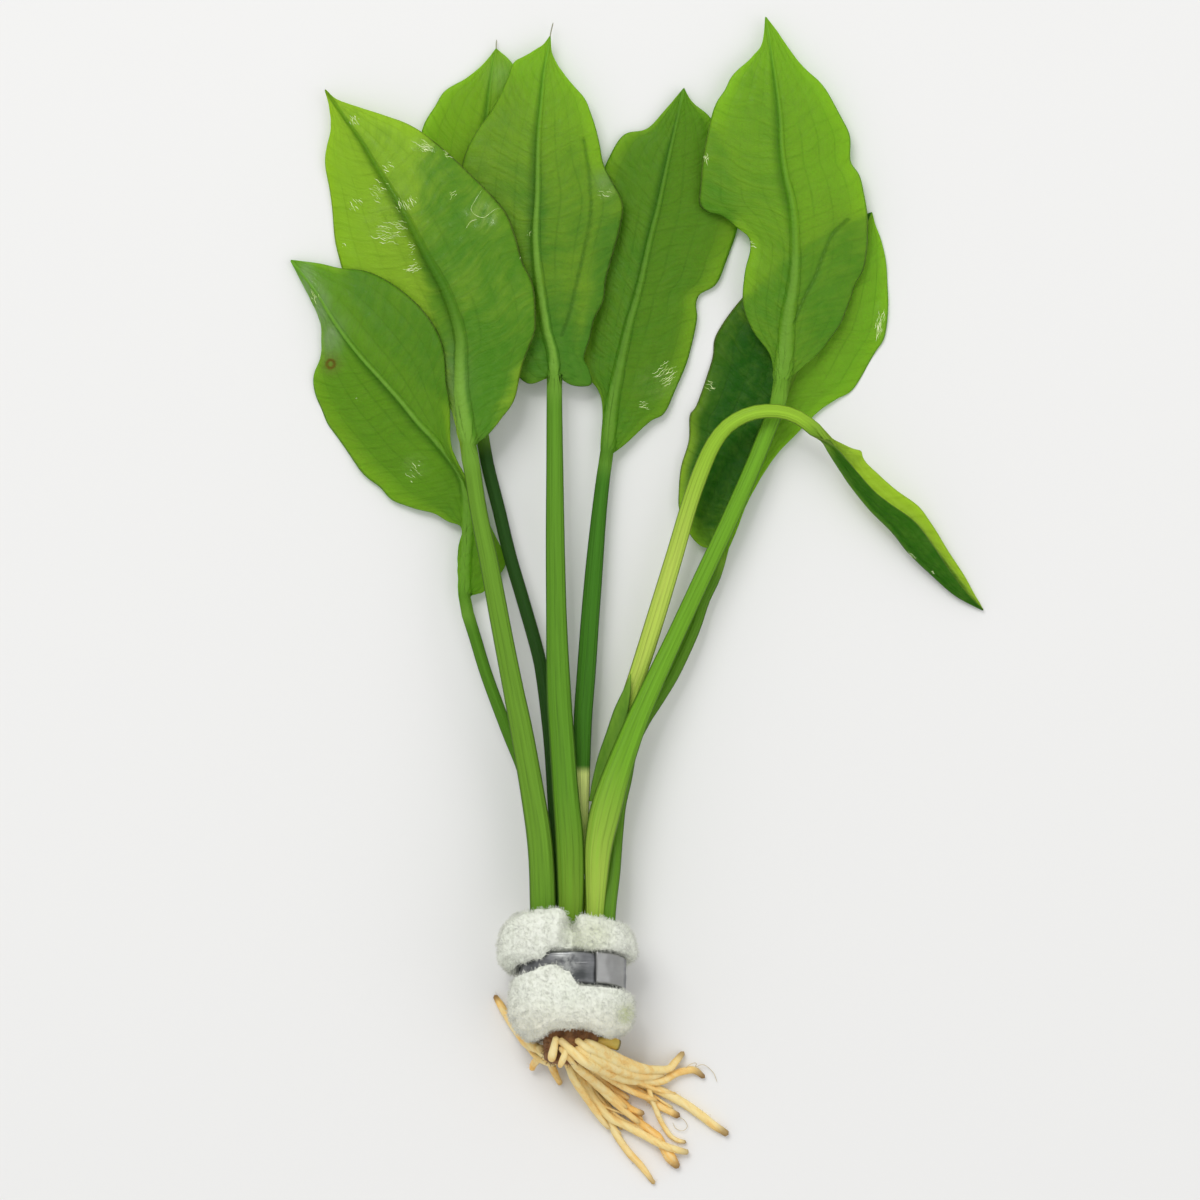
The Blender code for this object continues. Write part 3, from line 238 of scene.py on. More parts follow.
            (17.6, 60.4, 0.6), (22.9, 68.1, 0.7), (27.9, 72.6, 0.8), (34.7, 78.2, 0.9),
            (42.1, 83.4, 0.9), (48.2, 86.5, 0.9)],
        "right": [
            (20.4, 12.3, 3.4), (21.6, 14.6, 3.2), (22.6, 17.0, 2.9), (25.2, 23.5, 2.4),
            (30.8, 32.7, 1.7), (36.5, 38.7, 1.2), (40.7, 43.1, 0.9), (44.8, 45.9, 0.7),
            (48.8, 48.3, 0.5), (53.6, 56.4, 0.3), (55.8, 60.2, 0.3), (56.5, 67.1, 0.3),
            (56.2, 75.8, 0.5), (55.2, 81.3, 0.7), (53.6, 85.6, 0.9)],
        "bow": (0.1, 0.1),
        "rib_at_foot": 2.4,
    },
    "leaf_bent": {
        "stalk": [
            (-11.1, -75.5, 10.4, 3.1), (-10.8, -68.3, 10.3, 3.1), (-10.3, -60.2, 10.0, 3.1),
            (-9.2, -53.0, 9.4, 3.2), (-8.0, -45.6, 8.7, 3.2), (-6.8, -39.5, 8.3, 3.4),
            (-5.2, -32.1, 7.8, 3.5), (-3.2, -25.3, 7.6, 3.6), (-1.1, -19.0, 7.6, 3.8),
            (0.7, -13.8, 7.8, 4.0), (4.1, -3.0, 8.1, 4.1), (8.3, 10.9, 8.6, 3.9), (11.3, 21.3, 9.2, 3.7),
            (14.0, 29.1, 9.9, 3.7), (16.7, 35.2, 10.6, 3.5), (20.0, 39.5, 11.2, 3.3),
            (24.8, 42.2, 11.8, 3.2), (29.9, 42.9, 12.0, 3.1), (34.7, 42.0, 11.8, 3.1),
            (38.7, 39.5, 11.2, 3.2), (41.2, 37.0, 10.7, 3.2)],
        "midrib": [
            (42.2, 35.6, 10.4), (44.4, 31.9, 9.5), (47.2, 27.6, 8.4), (52.2, 21.3, 6.7),
            (57.4, 16.1, 5.3), (61.2, 11.4, 4.1), (66.4, 6.4, 2.9), (71.8, 1.7, 1.7), (78.1, -1.7, 0.7)],
        "left": [
            (43.4, 36.8, 10.2), (47.4, 34.9, 9.2), (48.7, 34.4, 9.9), (50.0, 34.0, 10.0),
            (50.4, 32.8, 9.0), (51.3, 31.4, 8.0), (53.4, 29.4, 7.2), (58.1, 25.3, 5.6),
            (63.2, 21.7, 4.2), (66.2, 17.8, 3.2), (70.1, 11.5, 2.0), (73.6, 6.3, 1.2), (76.1, 1.9, 0.7)],
        "right": [
            (42.6, 36.0, 11.6), (44.9, 34.0, 11.9), (48.6, 29.8, 11.2), (52.7, 25.3, 10.0),
            (56.3, 22.4, 8.9), (62.1, 18.3, 7.2), (66.2, 13.2, 5.7), (70.1, 7.5, 4.0), (74.0, 2.4, 2.4)],
        "bow": (0.0, 0.6),
        "rib_at_foot": 1.5,
    },
}

# Roots as (x, y, z, radius) from the crown outwards
ROOTS = {
    "root_left_long": [
        (-21.8, -100.0, 10.6, 0.7), (-23.2, -100.2, 7.6, 0.7), (-25.0, -99.6, 4.8, 0.72),
        (-26.8, -97.6, 3.0, 0.72), (-28.6, -95.0, 2.0, 0.75), (-30.6, -91.6, 1.3, 0.8),
        (-32.4, -88.7, 0.8, 0.5)],
    "root_left_middle": [
        (-20.2, -100.6, 8.4, 0.75), (-20.7, -102.0, 6.4, 0.8), (-19.7, -103.6, 4.4, 0.8),
        (-18.9, -105.8, 2.6, 0.75), (-17.4, -109.0, 0.8, 0.5)],
    "root_left_short": [
        (-22.2, -102.8, 4.4, 0.65), (-23.4, -103.9, 3.1, 0.75), (-24.0, -105.6, 1.7, 0.6)],
    "root_loop_left": [
        (-18.5, -97.8, 18.7, 0.65), (-19.1, -100.6, 18.3, 0.85), (-19.4, -102.2, 17.2, 0.75)],
    "root_loop_right": [
        (-16.2, -100.2, 18.9, 0.6), (-17.0, -102.2, 18.6, 0.65), (-17.6, -103.6, 17.5, 0.5)],
    "root_upper": [
        (-16.8, -98.0, 19.0, 0.65), (-14.2, -100.3, 19.2, 0.85), (-11.5, -102.5, 18.2, 0.9),
        (-7.9, -104.7, 12.5, 0.9), (-3.2, -107.0, 6.8, 0.95), (1.4, -107.9, 3.3, 0.95),
        (5.4, -107.9, 2.2, 0.9), (8.3, -106.5, 1.5, 0.8), (12.4, -105.6, 1.0, 0.8),
        (15.1, -107.4, 0.8, 0.5)],
    "root_upper_right": [
        (-13.0, -98.0, 18.7, 0.62), (-11.4, -99.3, 18.5, 0.75), (-9.2, -100.3, 16.4, 0.8),
        (-5.5, -102.5, 12.5, 0.85), (-0.9, -104.7, 8.0, 0.85), (3.6, -105.2, 4.6, 0.85),
        (6.8, -105.2, 3.2, 0.8), (8.6, -103.6, 2.0, 0.75), (10.4, -101.5, 0.9, 0.55)],
    "root_far_right": [
        (-10.4, -104.0, 12.1, 0.8), (-8.2, -104.7, 9.2, 0.9), (-5.8, -105.7, 6.0, 0.95),
        (-3.0, -106.9, 2.9, 0.95), (2.8, -109.3, 1.0, 0.95), (9.0, -112.3, 0.9, 0.9),
        (13.8, -115.5, 0.9, 0.9), (16.7, -117.8, 0.9, 0.85), (20.5, -120.3, 0.9, 0.75)],
    "root_middle_right": [
        (-10.8, -103.9, 9.4, 0.75), (-8.9, -105.4, 6.4, 0.8), (-6.1, -107.2, 3.2, 0.8),
        (-2.2, -109.4, 1.2, 0.8), (0.9, -110.8, 0.85, 0.8), (3.2, -112.6, 0.85, 0.8),
        (4.7, -113.7, 0.85, 0.8), (9.5, -116.2, 0.8, 0.7)],
    "root_branch": [
        (2.5, -109.7, 2.6, 0.45), (3.2, -112.3, 2.5, 0.45), (4.6, -115.8, 1.6, 0.5),
        (5.8, -118.2, 0.9, 0.5), (7.2, -120.3, 0.7, 0.5), (8.8, -121.5, 0.7, 0.45),
        (11.0, -122.0, 0.6, 0.45)],
    "root_short_middle": [
        (-13.2, -103.9, 10.0, 0.7), (-11.4, -106.4, 6.6, 0.75), (-9.8, -108.4, 4.3, 0.75),
        (-8.3, -109.6, 3.4, 0.75), (-4.8, -111.7, 2.8, 0.75), (-2.0, -114.0, 2.8, 0.75),
        (1.5, -115.5, 2.0, 0.6)],
    "root_pale": [
        (-15.4, -103.9, 10.8, 0.75), (-13.8, -106.3, 7.6, 0.8), (-12.2, -108.6, 4.9, 0.8),
        (-9.7, -112.2, 2.9, 0.8), (-6.5, -116.0, 2.7, 0.8), (-2.5, -118.2, 2.0, 0.8),
        (1.5, -120.3, 2.3, 0.8), (5.0, -122.1, 3.1, 0.75), (8.3, -123.4, 2.3, 0.75),
        (11.5, -124.3, 0.9, 0.6)],
    "root_stout": [
        (-12.6, -103.9, 7.0, 0.8), (-10.6, -106.2, 4.0, 0.8), (-8.6, -108.8, 1.4, 0.8),
        (-3.6, -112.6, 0.85, 0.8), (-0.9, -116.4, 0.85, 0.8), (2.5, -119.1, 0.85, 0.8),
        (4.5, -120.7, 0.9, 0.85), (5.9, -123.2, 1.0, 0.95), (7.4, -125.4, 1.25, 1.2),
        (9.2, -127.8, 0.8, 0.6)],
    "root_lower": [
        (-15.4, -103.9, 7.2, 0.75), (-14.2, -106.0, 3.8, 0.8), (-12.8, -107.9, 1.5, 0.8),
        (-10.6, -111.2, 0.8, 0.75), (-6.5, -116.9, 0.8, 0.75), (-4.8, -120.3, 0.8, 0.75),
        (-2.0, -124.3, 0.8, 0.75), (0.9, -127.5, 0.8, 0.7), (3.8, -131.5, 0.6, 0.45)],
}

# How each leaf differs: deep and light tissue, how much lighter its left and right halves are and over
# which stretch across they change (turn), this difference being painted light and shade: a half lying
# alone over the floor is lighter, one over other leaves or doubled in a fold darker; how pale its rib is
# at foot and tip, how dark the rib's sides (dark_rib) and the blade's foot are (foot_dark), how pale its
# left and right margins are, its colour where it is limp, partly a painted sheen (limp_and_sheen), its
# stalk, and the stalk's foot with the stretch over which it changes (foot_at)
LEAF_LOOKS = {
    "leaf_front_left": {
        "deep": (0.072, 0.225, 0.011), "light": (0.19, 0.38, 0.022), "halves": (0.12, 0.02),
        "rib": (0.9, 1.0), "limp_and_sheen": (0.38, 0.48, 0.27), "stalk": (0.085, 0.23, 0.014),
        "foot": (0.06, 0.19, 0.012)},
    "leaf_large_left": {
        "deep": (0.074, 0.235, 0.011), "light": (0.37, 0.58, 0.046), "halves": (0.8, -0.02),
        "turn": (-0.95, 0.05), "dark_rib": 0.75, "foot_dark": 0.55, "rib": (0.8, 0.0),
        "stalk": (0.145, 0.31, 0.026), "foot": (0.11, 0.27, 0.018)},
    "leaf_back_left": {
        "deep": (0.08, 0.23, 0.011), "light": (0.28, 0.45, 0.026), "halves": (0.34, 0.1),
        "limp_and_sheen": (0.34, 0.5, 0.14), "rib": (0.5, 0.4), "stalk": (0.02, 0.07, 0.01),
        "foot": (0.035, 0.11, 0.012)},
    "leaf_centre": {
        "deep": (0.066, 0.212, 0.014), "light": (0.27, 0.45, 0.032), "halves": (0.34, 0.0),
        "foot_dark": 1.0, "rib": (0.8, 0.6), "stalk": (0.115, 0.285, 0.02),
        "foot": (0.185, 0.335, 0.027), "foot_at": (-122.0, -84.0)},
    "leaf_centre_right": {
        "deep": (0.052, 0.212, 0.01), "light": (0.16, 0.33, 0.02), "halves": (0.0, 0.12),
        "rib": (0.6, 0.5), "stalk": (0.052, 0.185, 0.012), "foot": (0.86, 0.96, 0.3),
        "foot_at": (-70.4, -68.0)},
    "leaf_tall_right": {
        "deep": (0.08, 0.25, 0.012), "light": (0.26, 0.45, 0.03), "halves": (0.06, 0.16),
        "rib": (0.7, 0.5), "stalk": (0.165, 0.385, 0.022), "foot": (0.4, 0.56, 0.076),
        "foot_at": (-122.0, -84.0)},
    "leaf_back_right": {
        "deep": (0.014, 0.098, 0.001), "light": (0.26, 0.46, 0.03), "halves": (-0.86, 0.36),
        "foot_dark": -0.62, "rib": (0.1, 0.1), "margins": (0.75, 0.3), "stalk": (0.105, 0.25, 0.016),
        "foot": (0.27, 0.44, 0.07)},
    "leaf_bent": {
        "deep": (0.024, 0.13, 0.002), "light": (0.4, 0.6, 0.066), "halves": (0.75, -1.1),
        "rib": (0.2, 0.0), "stalk": (0.31, 0.54, 0.038), "foot": (0.52, 0.66, 0.11),
        "foot_at": (-62.0, -24.0)},
}

# Lines along which a blade is creased, as (x, y)
CREASES = {
    "leaf_centre": [
        (-12.2, 104.1), (-11.2, 98.0), (-10.8, 93.7), (-10.8, 85.8), (-13.1, 75.0), (-14.4, 69.4),
        (-15.5, 64.7), (-17.1, 60.2)],
    "leaf_tall_right": [
        (47.3, 86.3), (43.9, 83.1), (41.6, 78.2), (39.8, 73.2), (37.4, 68.6), (34.9, 62.9)],
}

# Wet patches on the blades, glossier and lightened by a painted sheen, as (x, y, reach in x, reach in y)
WET_PATCHES = {
    "leaf_large_left": [(-57.0, 87.0, 6.0, 7.0), (-46.5, 102.3, 5.0, 1.2), (-34.5, 87.0, 4.0, 4.0)],
    "leaf_front_left": [(-73.0, 70.0, 2.0, 6.0), (-50.0, 31.0, 4.0, 3.0)],
    "leaf_centre": [(-7.0, 93.0, 3.0, 3.0)],
    "leaf_centre_right": [(4.5, 49.5, 5.5, 4.5)],
    "leaf_back_right": [(54.8, 64.0, 1.4, 5.0)],
}

# Fields of water ridges, as (x, y, reach along the ridges, reach across them, heading in degrees, count)
RIPPLES = {
    "leaf_large_left": [
        (-55.8, 83.4, 5.0, 2.7, -12.0, 8), (-58.6, 92.6, 2.6, 2.6, -30.0, 6),
        (-63.6, 89.8, 1.7, 1.8, -50.0, 4), (-51.0, 79.0, 1.5, 2.0, 20.0, 4),
        (-50.6, 75.2, 2.6, 1.0, 15.0, 4), (-52.0, 89.6, 2.2, 2.6, -65.0, 6),
        (-56.2, 98.0, 1.3, 1.4, -40.0, 4), (-48.4, 102.8, 3.6, 1.2, -20.0, 5),
        (-43.0, 101.0, 2.6, 0.8, -28.0, 3), (-63.8, 108.4, 2.2, 1.0, -65.0, 4),
        (-66.5, 80.5, 0.9, 1.8, -30.0, 3), (-41.5, 91.6, 1.5, 0.8, 45.0, 3)],
    "leaf_front_left": [
        (-50.4, 29.6, 2.2, 2.4, -40.0, 4), (-63.0, 46.0, 0.8, 1.0, 30.0, 2),
        (-72.8, 69.0, 1.8, 0.8, -60.0, 3)],
    "leaf_centre": [(-7.6, 92.0, 2.4, 1.2, -12.0, 3), (-24.4, 83.0, 1.0, 0.6, 80.0, 2)],
    "leaf_centre_right": [(6.4, 51.6, 3.4, 2.6, 36.0, 7), (1.6, 44.6, 2.0, 1.0, 10.0, 3)],
    "leaf_tall_right": [(15.3, 100.0, 2.0, 0.6, 85.0, 3), (24.6, 80.6, 2.6, 1.2, -25.0, 4)],
    "leaf_back_right": [
        (54.6, 63.0, 3.8, 0.9, 78.0, 6), (16.4, 49.0, 1.4, 1.2, -20.0, 4),
        (14.6, 55.6, 1.4, 0.6, 70.0, 2)],
    "leaf_bent": [
        (57.4, 14.6, 1.6, 0.25, -42.0, 2), (62.0, 10.4, 1.8, 0.25, -42.0, 2),
        (66.6, 6.8, 1.2, 0.2, -42.0, 2)],
}

# Single ridges of water, as (x, y)
SQUIGGLES = {
    "leaf_large_left": [
        [
            (-34.7, 93.2), (-36.4, 90.6), (-37.5, 88.3), (-36.4, 86.9), (-34.7, 86.4), (-33.2, 87.4),
            (-32.0, 88.3), (-30.6, 88.4)],
        [(-38.7, 83.8), (-37.6, 85.4), (-36.2, 86.0)],
        [(-27.6, 82.8), (-26.9, 81.8)],
        [(-26.6, 77.0), (-25.9, 78.4), (-25.5, 79.2)]],
}

# Dull pale patches where a blade is limp, their paleness partly a painted sheen, as (x, y, reach in x,
# reach in y)
SHEEN_AND_LIMP_PATCHES = {
    "leaf_front_left": [(-75.0, 72.0, 1.8, 5.0), (-71.6, 66.0, 2.0, 5.0), (-69.0, 60.0, 2.6, 4.0)],
    "leaf_centre": [(-8.0, 95.2, 2.2, 2.4)],
    "leaf_large_left": [(-41.5, 48.0, 3.0, 9.0)],
    "leaf_back_left": [(-31.0, 119.5, 3.2, 4.0)],
}

# Veins: the long side veins as shares of the way out, and the spacing and rise of the cross veins
LATERAL_VEINS = (0.27, 0.52, 0.76)
CROSS_VEIN_SPACING = 3.4
CROSS_VEIN_RISE = 2.2

# Midribs and stalks, the points across a blade crowded towards its rib
RIB_AT_TIP = 0.6
RIB_REACH_AT_TIP = 0.42
CROWDING = 1.3
BLADE_END = 0.997
STALK_RINGS = 60
STALK_FLATNESS = 0.66
STALK_RIBS = 14
STALK_RIB_HEIGHT = 0.022
CREASE_REACH = 0.55
CREASE_DEPTH = 0.28
LEAF_CLEARANCE = 0.03
SPOT_ON_FRONT_LEAF = (-69.3, 53.8)

# What lies under a blade: each surface counts half a layer, and soft borders come from averaging
# The count paints a blade lighter where nothing lies beneath it, as painted light let through from the
# floor
LAYER_GAP = 0.0003
LAYER_REACH = 0.05
MOST_LAYERS = 3.5
LAYER_AVERAGING = 9

# Root looks as (warmth, darkness of the tip)
THIN_ROOT_LOOKS = (0.35, 0.3)
ROOT_LOOKS = {
    "root_left_long": (0.45, 0.9),
    "root_left_middle": (0.55, 0.5),
    "root_left_short": (0.75, 0.6),
    "root_loop_left": (0.1, 0.0),
    "root_loop_right": (0.15, 0.0),
    "root_upper": (0.35, 0.9),
    "root_upper_right": (0.3, 0.7),
    "root_far_right": (0.12, 0.8),
    "root_middle_right": (0.6, 0.9),
    "root_branch": (0.4, 0.7),
    "root_short_middle": (0.7, 0.8),
    "root_pale": (0.05, 0.5),
    "root_stout": (0.75, 0.8),
    "root_lower": (0.3, 0.5),
}

# Thin roots that fill the fan between the others, as (x, y, z, radius)
THIN_ROOTS = {
    "thin_root_upper": [
        (-14.6, -98.8, 16.4, 0.8), (-12.2, -102.6, 14.6, 0.85), (-7.7, -106.0, 8.6, 0.85),
        (-3.4, -109.0, 5.0, 0.8), (0.9, -111.2, 3.4, 0.7), (4.4, -112.4, 2.6, 0.45)],
    "thin_root_middle": [
        (-15.4, -100.6, 14.4, 0.9), (-11.6, -105.6, 11.4, 0.9), (-7.4, -110.4, 6.2, 0.85),
        (-3.0, -114.6, 3.8, 0.75), (0.4, -117.4, 2.9, 0.5)],
    "thin_root_left": [
        (-16.6, -100.4, 13.2, 0.85), (-14.6, -106.4, 10.0, 0.9), (-11.2, -112.2, 5.0, 0.8),
        (-8.4, -116.4, 2.6, 0.7), (-6.4, -119.0, 1.6, 0.4)],
    "thin_root_top": [
        (-14.0, -98.9, 18.6, 0.8), (-11.2, -101.0, 17.6, 1.0), (-6.4, -103.7, 12.6, 1.1),
        (-1.6, -105.9, 7.6, 1.1), (2.4, -106.7, 4.2, 1.0), (6.0, -106.4, 2.9, 0.5)],
    "thin_root_edge": [
        (-12.2, -97.6, 18.4, 0.7), (-9.4, -98.9, 17.0, 0.95), (-5.4, -101.4, 12.6, 1.0),
        (-1.0, -103.8, 8.2, 0.95), (2.6, -105.0, 5.4, 0.8), (5.6, -105.6, 3.9, 0.45)],
    "thin_root_front": [
        (-17.6, -98.9, 18.6, 0.6), (-15.2, -101.6, 17.6, 0.85), (-12.8, -104.6, 14.0, 0.95),
        (-9.0, -108.2, 8.6, 0.9), (-5.2, -111.6, 5.0, 0.75), (-2.4, -114.0, 4.2, 0.45)],
    "thin_root_shoulder": [
        (-17.6, -103.0, 12.6, 0.7), (-20.0, -101.8, 11.6, 1.0), (-22.4, -100.2, 9.4, 1.05),
        (-24.6, -98.6, 6.4, 0.95), (-26.6, -96.6, 4.2, 0.8), (-28.4, -94.4, 3.0, 0.5)],
    "thin_root_side": [
        (-17.8, -102.2, 9.4, 0.75), (-19.6, -103.6, 7.0, 0.8), (-22.4, -102.6, 5.0, 0.75),
        (-24.6, -100.4, 3.4, 0.6), (-26.0, -98.4, 2.6, 0.35)],
}

# Strands that run between two roots: the two, how near the second one, and their radius
STRANDS = [
    ("root_lower", "root_pale", 0.42, 0.42), ("root_pale", "root_stout", 0.45, 0.5),
    ("root_stout", "root_short_middle", 0.4, 0.45), ("root_upper", "root_far_right", 0.4, 0.55),
    ("root_middle_right", "root_far_right", 0.35, 0.4), ("root_lower", "root_stout", 0.3, 0.38),
    ("root_short_middle", "root_middle_right", 0.45, 0.8), ("root_pale", "root_short_middle", 0.5, 0.36)]

# Fine hairs as (x, y, z) rows, and their radius and colour at the roots and at the leaf tips
HAIR_LOOKS = {"root": (0.075, (0.78, 0.68, 0.46)), "leaf": (0.14, (0.33, 0.34, 0.22))}
HAIRS = {
    "hair_curl": [
        (8.6, -115.9, 0.9), (10.4, -116.9, 0.8), (11.2, -118.4, 0.7), (10.2, -119.4, 0.6),
        (8.6, -118.9, 0.6), (7.9, -117.6, 0.6)],
    "hair_side": [(11.6, -105.9, 1.2), (14.6, -104.4, 1.0), (17.0, -106.2, 0.6), (17.9, -108.4, 0.4)],
    "hair_top": [(9.6, -106.4, 1.6), (11.6, -104.4, 1.8), (13.2, -104.0, 1.4), (12.9, -105.1, 1.0)],
    "hair_centre_tip": [(-19.9, 126.9, 3.1), (-19.6, 128.8, 2.9), (-19.1, 130.9, 2.7)],
    "hair_back_left_tip": [(-32.0, 124.6, 1.0), (-32.0, 126.0, 1.1), (-31.9, 127.2, 1.0)],
}

HAIR_CLEARANCE = 0.00003

# The sheath as (x, y, z, width) and the stub as (x, y, z, radius)
SHEATH = [
    (-10.6, -44.6, 10.3, 0.9), (-9.1, -40.0, 10.2, 2.4), (-7.6, -34.8, 9.9, 2.9),
    (-5.5, -29.5, 9.8, 3.4), (-3.9, -24.6, 9.75, 3.3), (-2.6, -20.2, 9.9, 1.9),
    (-1.9, -17.2, 10.05, 0.6)]
SHEATH_TIP = (-1.6, -15.8, 10.1)
CUT_STUB = [
    (-10.6, -98.0, 12.9, 1.0), (-8.0, -98.3, 12.4, 1.15), (-6.2, -98.6, 11.8, 1.3),
    (-4.1, -99.3, 10.9, 1.25)]

# The crown: its axis as (x, z), its half size, and its rings as (y, share of the half size)
CROWN_MIDDLE = (-15.1, 12.6)
CROWN_HALF_SIZE = (6.2, 5.6)
CROWN_RINGS = [
    (-76.3, 0.7), (-78.6, 0.88), (-82.0, 0.96), (-97.5, 1.0), (-100.6, 0.97), (-102.3, 0.9),
    (-103.0, 0.76)]

# The strip: its run about the foam's groove starts at its end angle, and overlap and ramp are angles
STRIP_AXIS = (-15.1, -84.0, 12.6)
STRIP_WIDTH = 7.2
STRIP_THICKNESS = 0.8
STRIP_HALF_SIZE = (11.1, 10.3)
STRIP_LAYER = 1.15
STRIP_END = math.radians(62)
STRIP_OVERLAP = 0.66
STRIP_RAMP = 0.8
STRIP_STATIONS = 220
STRIP_POINTS_ACROSS = 25
WRAP_SQUARENESS = 2.4
WRAP_LEAN = 0.3

# The flap of foam that has swollen over the strip: middle, turn in degrees, and half size
FOAM_FLAP = ((-19.6, -85.2, 22.9), (0.0, -16.0, 18.0), (5.6, 5.2, 1.5))

# Corners where the foam is rounded off, as (x, y, reach in x, reach in y) from inside the corner
FOAM_CORNERS = [(-23.0, -78.0, -8.4, 9.0), (-7.5, -77.5, 6.8, 7.0)]

# The notch in the foam's mouth and the bay in its lower edge, as (middle in x, reach, depth)
FOAM_NOTCH = (-14.4, 1.15, 2.2)
FOAM_BAY = (-15.2, 6.2, 2.7)
FOAM_SMOOTHING = 6
FIBRE_PIECES = 4

# Radii between which the ridges of water lie
RIDGE_RADII = (0.035, 0.095)

# Lamps as (place, size, share of the key light's power), in metres, then floor and camera
LAMPS = {"key": ((-0.63, 1.12, 1.71), 1.08, 1.0), "fill": ((1.35, -0.27, 1.44), 1.6, 0.35),
         "glint": ((-0.36, 0.9, 1.8), 0.15, 0.14)}
FLOOR_REACH = 2.5
FLOOR_HEIGHT = -0.0001
CAMERA_PLACE = (-0.00855, 0.00056, 1.206)
SENSOR_WIDTH = 36.0
FOCAL_LENGTH = 160.0


def length_setting(name, description, default, low, high):
    """Declare a setting that is a length in metres."""
    return FloatProperty(name=name, description=description, default=default, min=low, max=high,
                         unit="LENGTH")


def number_setting(name, description, default, high=1.0):
    """Declare a setting that is a plain number from 0 up."""
    return FloatProperty(name=name, description=description, default=default, min=0.0, max=high)


def count_setting(name, description, default, low=0, high=200):
    """Declare a setting that is a whole number."""
    return IntProperty(name=name, description=description, default=default, min=low, max=high)


def colour_setting(name, description, default):
    """Declare a setting that is a colour."""
    return FloatVectorProperty(name=name, description=description, default=default, size=3,
                               min=0.0, max=1.0, subtype="COLOR")


class LeafSettings(bpy.types.PropertyGroup):
    """Sizes and colours of the leaves."""

    blade_thickness: length_setting(
        "Blade thickness", "Thickness of a blade between its veins", 0.00042, 0.0002, 0.0006)
    ruffle: length_setting("Ruffle", "How far a blade's margins rise and fall", 0.0007, 0.0, 0.001)
    quilting: length_setting(
        "Quilting", "How far the tissue bulges between its veins", 0.00019, 0.0, 0.0004)
    points_across: count_setting(
        "Points across", "Points across one face of a blade, an odd number", 61, 21, 81)
    rings_along: count_setting("Rings along", "Rings along a blade", 150, 40)
    translucency: number_setting("Translucency", "Share of the light that passes through a blade", 0.5)
    rib_colour: colour_setting("Rib colour", "Colour of the pale midribs", (0.23, 0.46, 0.055))
    # Margin colour is the thin tissue's own yellow and also stands for painted light let through the
    # margins
    margin_colour: colour_setting(
        "Margin colour", "Colour of the thin tissue near the margins", (0.34, 0.56, 0.03))
    edge_colour: colour_setting(
        "Edge colour", "Colour of the thin line along the margins", (0.17, 0.19, 0.06))


class RootSettings(bpy.types.PropertyGroup):
    """Sizes and colours of the roots and the crown."""

    ring_spacing: length_setting(
        "Ring spacing", "Distance between the rings of a root's tube", 0.0004, 0.0002, 0.002)
    lumps: length_setting("Lumps", "How far a root's skin swells and shrinks", 0.00016, 0.0, 0.0004)
    pale: colour_setting("Pale tissue", "Colour of young root tissue", (1.0, 0.8, 0.35))
    amber: colour_setting("Amber tissue", "Colour of old root tissue", (1.0, 0.62, 0.18))
    tip: colour_setting("Tip colour", "Colour of the broken root tips", (0.23, 0.12, 0.045))
    hair_density: number_setting(
        "Hair density", "Fine hairs on each square metre of root skin", 260000.0, 1000000.0)
    seed: count_setting("Seed", "Seed of the fine hairs", 4)


class FoamSettings(bpy.types.PropertyGroup):
    """Sizes and colours of the foam wrap."""

    grain: length_setting("Grain", "Size of the faces that carry the pores", 0.00034, 0.0003, 0.001)
    pore_depth: length_setting("Pore depth", "Depth of the open pores", 0.0003, 0.0, 0.001)
    fibre_length: length_setting(
        "Fibre length", "Length of the fibres that stand out of the foam", 0.00078, 0.0002, 0.002)
    fibre_density: number_setting(
        "Fibre density", "Fibres on each square metre of foam", 6400000.0, 9000000.0)
    colour: colour_setting("Colour", "Colour of clean foam", (0.885, 0.91, 0.81))
    stain: colour_setting(
        "Stain", "Colour of the foam where it has taken up water and green", (0.6, 0.64, 0.4))
    seed: count_setting("Seed", "Seed of the fibres", 7)


class StripSettings(bpy.types.PropertyGroup):
    """Look of the metal strip."""

    colour: colour_setting("Colour", "Colour of the rolled metal", (0.2, 0.205, 0.215))
    dents: length_setting("Dents", "Depth of the dents and wrinkles", 0.00022, 0.0, 0.001)


class StageSettings(bpy.types.PropertyGroup):
    """Floor and light."""

    floor_colour: colour_setting("Floor colour", "Colour of the plain floor", (0.858, 0.856, 0.848))
    sky: number_setting("Sky", "Strength of the even light from all around", 0.62, 10.0)
    key: number_setting("Key light", "Power of the large soft lamp, in watts", 16.8, 1000.0)


def smooth(points, steps=8):
    """Fill in a smooth run of rows between each two of the given rows."""
    rows = np.array(points, dtype=float)
    padded = np.vstack([2 * rows[0] - rows[1], rows, 2 * rows[-1] - rows[-2]])
    shares = np.linspace(0.0, 1.0, steps, endpoint=False)[:, None]
    run = []
    for before, start, end, after in zip(padded, padded[1:], padded[2:], padded[3:]):
        slope_in = (end - before) / 2
        slope_out = (after - start) / 2
        square = 3 * (end - start) - 2 * slope_in - slope_out
        cube = 2 * (start - end) + slope_in + slope_out
        run.append(start + slope_in * shares + square * shares ** 2 + cube * shares ** 3)
    return np.vstack([*run, rows[-1:]])


def lengths_along(points):
    """Return how far along a run each of its points lies."""
    steps = np.linalg.norm(np.diff(points[:, :3], axis=0), axis=1)
    return np.concatenate([[0.0], np.cumsum(steps)])


def at_shares(run, shares):
    """Read rows off a run at the given shares of its length."""
    along = lengths_along(run)
    return np.column_stack([np.interp(shares, along / along[-1], column) for column in run.T])


def unit(vectors):
    """Return vectors in their directions, each of length 1."""
    return vectors / np.linalg.norm(vectors, axis=-1, keepdims=True)


def shaded(colour, share):
    """Return a colour made darker, or lighter where the share is above 1."""
    return tuple(share * value for value in colour)


